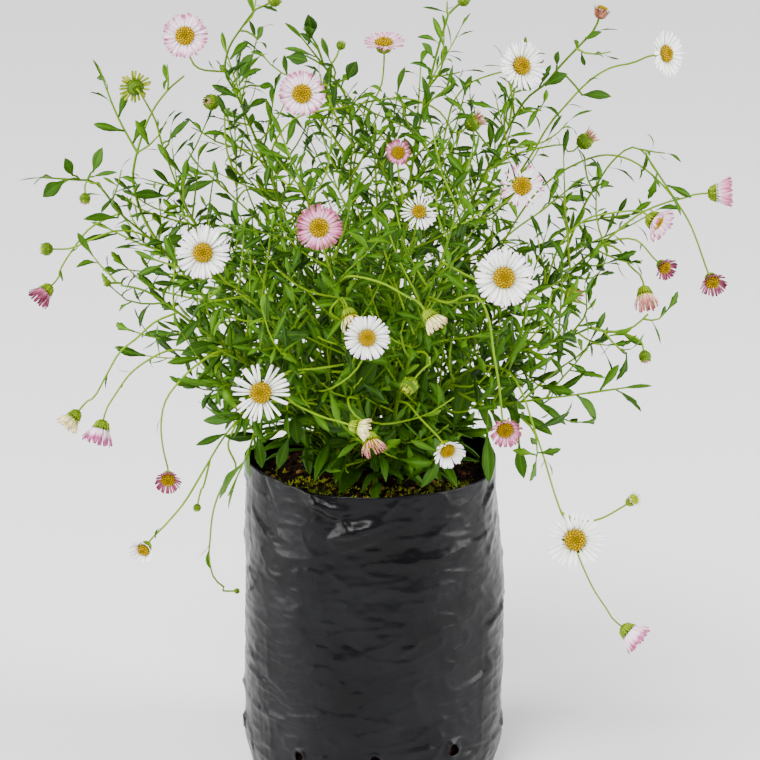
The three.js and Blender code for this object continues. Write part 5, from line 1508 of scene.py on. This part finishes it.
def leaves_on_stem(line, draws):
    """Single leaves straight on a stem, longer and broader low down."""
    for number in range(int(line.length / SINGLE_SPACING)):
        share = (number + draws.next()) * SINGLE_SPACING / line.length
        if share > 0.98:
            continue
        root, along = line.curve.at(share), line.curve.along(share)
        if root.z < SOIL_TOP + 3 or draws.next() > mix(0.24, 1, crowding(root)):
            continue
        heading = twig_way(along, GOLDEN_TURN * number, draws.between(0.6, 1.25))[1]
        low = 1 - smooth_step(root.z, 150, 215)
        length = draws.between(8, 14) * (1 + 0.65 * low)
        if root.z < 150:
            heading = (heading + Vector((root.x, root.y, 0)).normalized() * 0.8).normalized()
        if not in_reach(root + heading * length - 2 * UP) or not has_room(root, heading, length, 2):
            continue
        shapes = BROAD_SHAPES if low > 0.6 else (TOOTHED_SHAPES if draws.next() < 0.35 else LEAF_SHAPES)
        half = length * draws.between(0.105, 0.15)
        face = 0.6 * UP + 0.3 * along + 0.8 * outward(root)
        yield root, heading, face, length, half, draws.between(0.1, 0.6), shapes


def leaves_on_shoot(curve, reach, draws):
    """Small leaves along a shoot, each the golden angle round from the last, and one at its tip."""
    count = max(2, int(reach / SHOOT_LEAF_SPACING))
    for number in range(count + 1):
        share = (number + 1) / (count + 1)
        root, along = curve.at(share), curve.along(share)
        lift = draws.between(0.55, 1.3) if number < count else 0.05
        heading = twig_way(along, GOLDEN_TURN * number + reach, lift)[1]
        length = draws.between(6.5, 13) * (1 + 0.55 * (1 - smooth_step(root.z, 150, 230)))
        if not has_room(root, heading, length, 1.5):
            continue
        shapes = TOOTHED_SHAPES if draws.next() < 0.25 else LEAF_SHAPES
        half = length * draws.between(0.1, 0.15)
        face = 0.5 * UP + 0.4 * along + outward(root)
        yield root, heading, face, length, half, draws.between(0.05, 0.8), shapes


def leaves_on_spray(spray, draws):
    """The leaves of a side twig, where the solid model has them."""
    for leaf in spray.leaves:
        root, tip, length = spray.leaned(leaf, 0), spray.leaned(leaf, 1), leaf["length"]
        _, _, up, aside = spray.directions(leaf["root"])
        upper = up * math.cos(leaf["lean"]) - aside * leaf["side"] * math.sin(leaf["lean"])
        shapes = TOOTHED_SHAPES if leaf["toothed"] else LEAF_SHAPES[:1]
        if length > 18:
            shapes = BROAD_SHAPES[:1]
        yield root, tip - root, upper, length, 0.135 * length, draws.between(0.2, 0.6), shapes
    root, tip = spray.bend(0, spray.end - 1, 0), spray.bend(0, spray.end + spray.tip_length, 0)
    yield root, tip - root, spray.upper, spray.tip_length + 1, 0.1 * spray.tip_length, 0.55, LEAF_SHAPES[:1]


found_leaves = wide_leaves()
shoots = {entry["id"]: shoots_on(entry) for entry in leafy_routes}
plant = {}
for stem_name, _, _ in STEMS:
    ways = []
    leaves = []
    for entry in routes:
        if entry["stem"] != stem_name:
            continue
        line, draws = entry["line"], Draws(entry["id"] + 400)
        count = max(4, int(line.length / 3.5))
        thick, thin, shade = STEM_LOOKS[entry["kind"]]
        points = [line.curve.at(i / count) for i in range(count + 1)]
        ways.append((points, [mix(thick, thin, min(1, 1.3 * i / count)) for i in range(count + 1)], shade))
        if entry["kind"] == "stalk":
            leaves += leaves_on_stalk(line, draws)
            continue
        leaves += leaves_on_stem(line, draws)
        for curve, way, reach, draws in shoots[entry["id"]]:
            ways.append(thinning(way, 0.5, 0.3, draws.between(0.4, 1)))
            leaves += leaves_on_shoot(curve, reach, draws)
    for spray in filter(None, sprays[stem_name]):
        count = max(3, int(spray.line.length / 4))
        points = [spray.line.curve.at(i / count) for i in range(count + 1)]
        points += [spray.bend(0, spray.end, 0)] if spray.end > spray.line.length else []
        ways.append(thinning(points, 0.55, 0.35, 0.7))
        leaves += leaves_on_spray(spray, Draws(len(ways)))
    for owner, stalk_line, *leaf, shapes in found_leaves:
        if owner != stem_name:
            continue
        count = max(3, int(stalk_line.length / 4))
        ways.append(thinning([stalk_line.at(i / count) for i in range(count + 1)], 0.45, 0.45, 0.45))
        leaves.append((*leaf, 0.1 + 0.02 * len(leaves) % 0.35, shapes))
    shape = plant[stem_name] = new_shape(mapped=True)
    stem_tubes(shape, ways, stem_name)
    draws = Draws(77)
    for leaf in leaves:
        leaf_on(shape, *leaf, draws)


# The cups and buds
# Under each head is a green cup of narrow overlapping bracts, and each bud is a closed cup
# with the tips of its rays just showing. They are part of the living stem.
CUP_SHARE = 0.2
GREEN = 2
WITHERED = 3
BRACT_WIDTHS = (0.7, 1.0, 0.95, 0.6, 0.08)

bract = bmesh.new()
bract.loops.layers.uv.new("UVMap")
bmesh.ops.create_grid(bract, x_segments=2, y_segments=4, size=0.5)
for vert in bract.verts:
    share = vert.co.y + 0.5
    width = BRACT_WIDTHS[round(share * 4)]
    vert.co = Vector((2 * vert.co.x * width, share, 0.35 - 0.3 * abs(vert.co.x) * 2 * width - 0.2 * share))
bmesh.ops.solidify(bract, geom=bract.faces[:], thickness=0.12)
bmesh.ops.recalc_face_normals(bract, faces=bract.faces)
bract_shape = shape_mesh(bract, "bract")
cup_shape = shape_mesh(turned_form([(0, -0.98), (0.3, -0.94), (0.7, -0.75), (0.93, -0.4), (0.96, -0.1),
                                    (0.9, 0), (0, 0.02)], 16), "cup")
bud_shape = shape_mesh(turned_form([(0, -0.98), (0.42, -0.88), (0.78, -0.6), (0.93, -0.15), (0.88, 0.25),
                                    (0.66, 0.55), (0.4, 0.62), (0, 0.5)], 16), "bud")
blunt_shape = broad_leaf("blunt_ray", [(0, 0.7), (0.35, 0.95), (0.75, 1.0), (0.95, 0.85), (1, 0.5)], 2,
                         0.03, -0.3, 0.02)


def bracts_on(into, placed, profile, count, width, shade, draws, material=GREEN):
    """Lays bracts up a cup: from one (radius, height) of the profile to the next."""
    (low, foot), (high, top) = profile
    for i in range(count):
        turn = 2 * math.pi * (i + draws.between(-0.15, 0.15)) / count
        out = level_way(turn)
        root, tip = out * low + UP * foot, out * high + UP * top
        along = tip - root
        across = UP.cross(out)
        face = across.cross(along.normalized())
        place = placed @ frame_of(root, across, along.normalized(), face, (width, along.length, width))
        lay(into, bract_shape, place, shade + draws.between(-0.2, 0.2), material)


def add_cup(shape, placed, head, draws):
    """The cup under a head, brown and wide under a dried one."""
    dried = head["form"] == "dried"
    radius = CUP_SHARE * head["size"] + (1.5 if dried else 0.6)
    look = WITHERED if dried else GREEN
    size = Matrix.Diagonal((0.9 * radius, 0.9 * radius, CUP_HEIGHT, 1))
    # The cup's own body is laid darker than its bracts: painted shade that shows in the gaps between them
    lay(shape, cup_shape, placed @ Matrix.Translation((0, 0, -GAP)) @ size, 0.25, look)
    bracts_on(shape, placed, [(0.35 * radius, -GAP - 0.95 * CUP_HEIGHT), (0.96 * radius, -GAP - 0.3)],
              14, 0.18 * radius, 0.5, draws, look)
    bracts_on(shape, placed, [(0.66 * radius, -GAP - 0.76 * CUP_HEIGHT), (1.04 * radius, 0.5)],
              20, 0.13 * radius, 0.65, draws, look)


def add_bud(shape, placed, bud, faded, draws):
    """A bud: still green and open where it shows many rays, and faded where it shows a few."""
    radius = bud["size"] / 2
    open_green = bud["rays"] > 8
    # The bud's own body is laid darker than its bracts: painted shade that shows in the gaps between them
    lay(shape, bud_shape, placed @ Matrix.Diagonal((radius, radius, radius, 1)), 0.25, GREEN)
    bracts_on(shape, placed, [(0.4 * radius, -0.92 * radius), (0.96 * radius, 0.2 * radius)], 12,
              0.2 * radius, 0.35 if open_green else 0.45, draws)
    bracts_on(shape, placed, [(0.9 * radius, -0.4 * radius), (0.68 * radius, 0.86 * radius)], 16,
              0.15 * radius, 0.45 if open_green else 0.62, draws)
    # The tips of the rays just show in a bud's mouth, brown where the head has faded
    bracts_on(shape, placed, [(0.5 * radius, 0.35 * radius), (0.22 * radius, 0.92 * radius)], 9,
              0.14 * radius, 0.35 if open_green else 0.9, draws, WITHERED if faded else GREEN)
    if not bud["rays"]:
        return
    count, reach, lean, inset, rise = (21, 1.0, 8, 1, 0.15) if open_green else (15, 1.05, 62, 0.7, 0.55)
    for i in range(count):
        turn = 2 * math.pi * (i + draws.between(-0.2, 0.2)) / count
        out = level_way(turn)
        way = out * math.cos(math.radians(lean)) + UP * math.sin(math.radians(lean))
        root = out * 0.8 * radius * inset + UP * rise * radius
        across = UP.cross(out)
        way = (way + across * draws.between(-0.2, 0.2)).normalized()
        far = reach * radius * draws.between(0.8, 1.15)
        size = (0.15 * radius, far, far) if open_green else (0.13 * radius, far, 0.12 * radius)
        place = placed @ frame_of(root, across, way, across.cross(way), size)
        if open_green:
            lay(shape, blunt_shape, place, draws.between(0.78, 1), GREEN)
        else:
            lay(shape, bract_shape, place, draws.between(0.5, 1.1), WITHERED)


for entry in routes:
    if "at" not in entry:
        continue
    shape, draws = plant[entry["stem"]], Draws(entry["id"] + 9)
    placed = head_frame(entry["at"], entry["face"])
    if "head" in entry:
        add_cup(shape, placed, entry["head"], draws)
    else:
        add_bud(shape, placed, entry["bud"], 0 < entry["bud"]["rays"] <= 8 or entry["id"] % 2, draws)
plant_materials = [stem_material, leaf_look(), cup_material, withered_material]
for stem_name, shape in plant.items():
    finish_piece(shape, "leafy_" + stem_name, "foliage", plant_materials, stem_name)


# The ray florets
# Each head carries one or two rings of narrow, blunt strips, soft and matt, white to pink with
# darker tips. Old heads have thin, curled and faded rays, and some heads have lost a few.
DISC_SHARE = 0.19
THINNEST_RAY = 0.36
# For each colour: how far along a ray its middle colour lies, then its root, middle and tip
RAY_COLOURS = {
    "white": (0.72, (0.8, 0.82, 0.7), (0.93, 0.93, 0.93), (0.84, 0.7, 0.84)),
    "pale": (0.64, (0.92, 0.86, 0.9), (0.9, 0.6, 0.76), (0.42, 0.09, 0.23)),
    "pink": (0.58, (0.88, 0.66, 0.76), (0.76, 0.27, 0.46), (0.3, 0.06, 0.12)),
    "magenta": (0.52, (0.62, 0.22, 0.34), (0.3, 0.062, 0.13), (0.13, 0.02, 0.045)),
    "cream": (0.78, (0.45, 0.55, 0.06), (0.88, 0.82, 0.45), (0.6, 0.4, 0.2)),
    "salmon": (0.54, (0.6, 0.55, 0.12), (0.78, 0.4, 0.33), (0.42, 0.11, 0.12)),
    "brown": (0.52, (0.32, 0.14, 0.05), (0.2, 0.06, 0.025), (0.1, 0.025, 0.012)),
}
# For each form of head: how many rays it has, how much they curl, how far they stand up from the
# head's plane in degrees, and half a ray's width as a share of the head's size
RAY_FORMS = {
    "open": (42, -0.06, 8, 0.0295),
    "sparse": (26, -0.1, -4, 0.0275),
    "half": (36, -0.12, 36, 0.036),
    "cup": (34, -0.16, 57, 0.036),
    "wilted": (24, -0.45, 42, 0.024),
    "dried": (16, 0.6, 30, 0.019),
}
# Some heads are paler, or more faded, than others of their colour
HEAD_SHADES = {"pink_far_right": -0.1, "pink_top": -0.12, "pink_centre": 0.1, "salmon_centre": 0.16,
               "pink_low_right": 0.1, "pink_lower_left": 0.2, "pale_hanging_right": 0.06,
               "white_small_right": -0.4}
RAY_EDGE = [(0, 0.55), (0.2, 0.8), (0.5, 0.98), (0.8, 1.0), (0.96, 0.85), (1, 0.6)]


def ray_look(name, middle_at, root, middle, tip):
    """Ray colours from root to tip by the ray's own length, streaked along it."""
    material, nodes, shader = plain_material(name, middle, 0.7, 0.1)
    parts = add_node(nodes, "SeparateXYZ", {0: add_node(nodes, "UVMap", {}).outputs["UV"]}).outputs
    uneven = reckon(nodes, "MULTIPLY_ADD", fine_noise(nodes, 700, 2), 0.14, own_shade(nodes))
    along = reckon(nodes, "ADD", uneven, parts["Y"])
    wire(shader, "Base Color", colour_ramp(nodes, along, [(0.04, root), (middle_at, middle), (0.97, tip)]))
    roughen(nodes, shader, reckon(nodes, "PINGPONG", parts["X"], 0.16), 0.5, 0.0002)
    return material


ray_shapes = {
    form: [broad_leaf(form + "_ray", RAY_EDGE, 2, 0.016, -2 * curl, 0.008),
           broad_leaf(form + "_ray_turned", RAY_EDGE, 2, 0.016, -3.6 * curl, -0.006, 0.3, 0.5),
           broad_leaf(form + "_ray_swayed", RAY_EDGE, 2, 0.016, -1.2 * curl, 0.006, -0.3, -0.7)]
    for form, (_, curl, _, _) in RAY_FORMS.items()
}
ray_materials = {colour: ray_look(colour + "_rays", *tones) for colour, tones in RAY_COLOURS.items()}
headed = [entry for entry in routes if "head" in entry]
for entry in headed:
    head = entry["head"]
    form, size = head["form"], head["size"]
    count, _, lean, ray_width = RAY_FORMS[form]
    placed = head_frame(entry["at"], entry["face"])
    root = DISC_SHARE * size + 0.4
    draws = Draws(entry["id"] + 60)
    rays = new_shape(mapped=True)
    count = round(count * (0.55 + 0.45 * size / 20))
    for i in range(count):
        ring = i % 2
        turn = 2 * math.pi * (i + draws.between(-0.28, 0.28)) / count
        if form == "sparse" and draws.next() < 0.12:
            continue
        out = level_way(turn)
        tilt = math.radians(lean) + draws.between(-0.1, 0.1) + (0.05 if ring else -0.03)
        way = out * math.cos(tilt) + UP * math.sin(tilt)
        across = UP.cross(out)
        far = (size / 2 - 0.8 * root) * draws.between(0.88, 1.02) * (1.22 if form in ("cup", "wilted") else 1)
        if form in ("wilted", "dried"):
            way = (way + across * draws.between(-0.35, 0.35)).normalized()
        half = max(THINNEST_RAY, ray_width * size) * draws.between(0.8, 1.12)
        start = out * (0.97 if form == "cup" else 0.85) * root + UP * (0.14 + 0.22 * ring)
        shape = ray_shapes[form][int(min(2, 3.2 * draws.next() ** 1.6))]
        lay(rays, shape, placed @ frame_of(start, across, way, across.cross(way), (half, far, far)),
            draws.between(-0.2, 0.1) + HEAD_SHADES.get(head["name"], 0))
    finish_piece(rays, "rays_" + head["name"], head["colour"] + "_rays", [ray_materials[head["colour"]]],
                 "bloom_" + head["name"])


# The disc florets
# A low dome of tiny yellow tubes in the middle of each head, set in crossing spirals: the
# outer ones are open, the inner ones still closed. A head just opening is still green there.
YOUNG_HEAD = "white_small_right"
disc_material = shaded_material(
    "disc", [(0.0, (0.1, 0.12, 0.0)), (0.3, (0.22, 0.135, 0.0)), (0.65, (0.38, 0.23, 0.0)),
             (1.0, (0.5, 0.32, 0.0))], 0.7, 900, 0.25, 0.02)[0]
young_disc_material = shaded_material(
    "young_disc", [(0.0, (0.12, 0.22, 0.0)), (0.5, (0.24, 0.34, 0.0)), (1.0, (0.42, 0.42, 0.0))],
    0.7, 900, 0.25, 0.02)[0]
open_floret = shape_mesh(turned_form([(0, -0.6), (0.5, -0.6), (0.62, 0.5), (0.9, 0.85), (0.55, 0.9),
                                      (0.2, 0.72), (0, 0.9)], 5), "disc_floret")
closed_floret = shape_mesh(turned_form([(0, -0.6), (0.62, -0.6), (0.8, 0.2), (0.6, 0.7), (0, 0.9)], 5),
                           "closed_floret")
dome_shape = shape_mesh(turned_form([(0, 0), (1, 0), (0.97, 0.35), (0.82, 0.66), (0.5, 0.88), (0, 0.98)], 20),
                        "dome")

for entry in headed:
    head = entry["head"]
    placed = head_frame(entry["at"], entry["face"])
    root = DISC_SHARE * head["size"] + 0.4
    draws = Draws(entry["id"] + 90)
    young = head["name"] == YOUNG_HEAD
    radius = (0.88 if head["colour"] == "white" and not young else 1.02) * root
    height, base = 0.45 * root, BLADE + GAP
    florets = new_shape()
    # The dome under the florets is laid at a dark shade: painted shade that shows in the gaps between the
    # florets
    size = Matrix.Diagonal((0.96 * radius, 0.96 * radius, base + 0.72 * height - 0.2, 1))
    lay(florets, dome_shape, placed @ Matrix.Translation((0, 0, 0.2)) @ size, 0.25)
    count = 60 if head["size"] > 15 else 40
    for i in range(count):
        share = math.sqrt((i + 0.6) / count)
        turn = GOLDEN_TURN * i
        out = level_way(turn)
        middle = out * 0.95 * radius * share + UP * (base - 0.1 + 0.8 * height * (1 - 0.75 * share ** 2.4))
        way = (UP + out * 0.75 * share ** 2).normalized()
        across = UP.cross(out)
        thick = 0.84 * radius / math.sqrt(count)
        shade = 0.3 + 0.5 * smooth_step(share, 0.15, 0.6) + draws.between(-0.15, 0.22)
        place = placed @ frame_of(middle, across, way.cross(across), way, (thick, thick, 1.35 * thick))
        lay(florets, open_floret if share > 0.5 else closed_floret, place, shade)
    replaced = ["disc_" + head["name"]] if head["form"] in ("open", "sparse") else []
    finish_piece(florets, "florets_" + head["name"], "disc",
                 [young_disc_material if young else disc_material], *replaced)
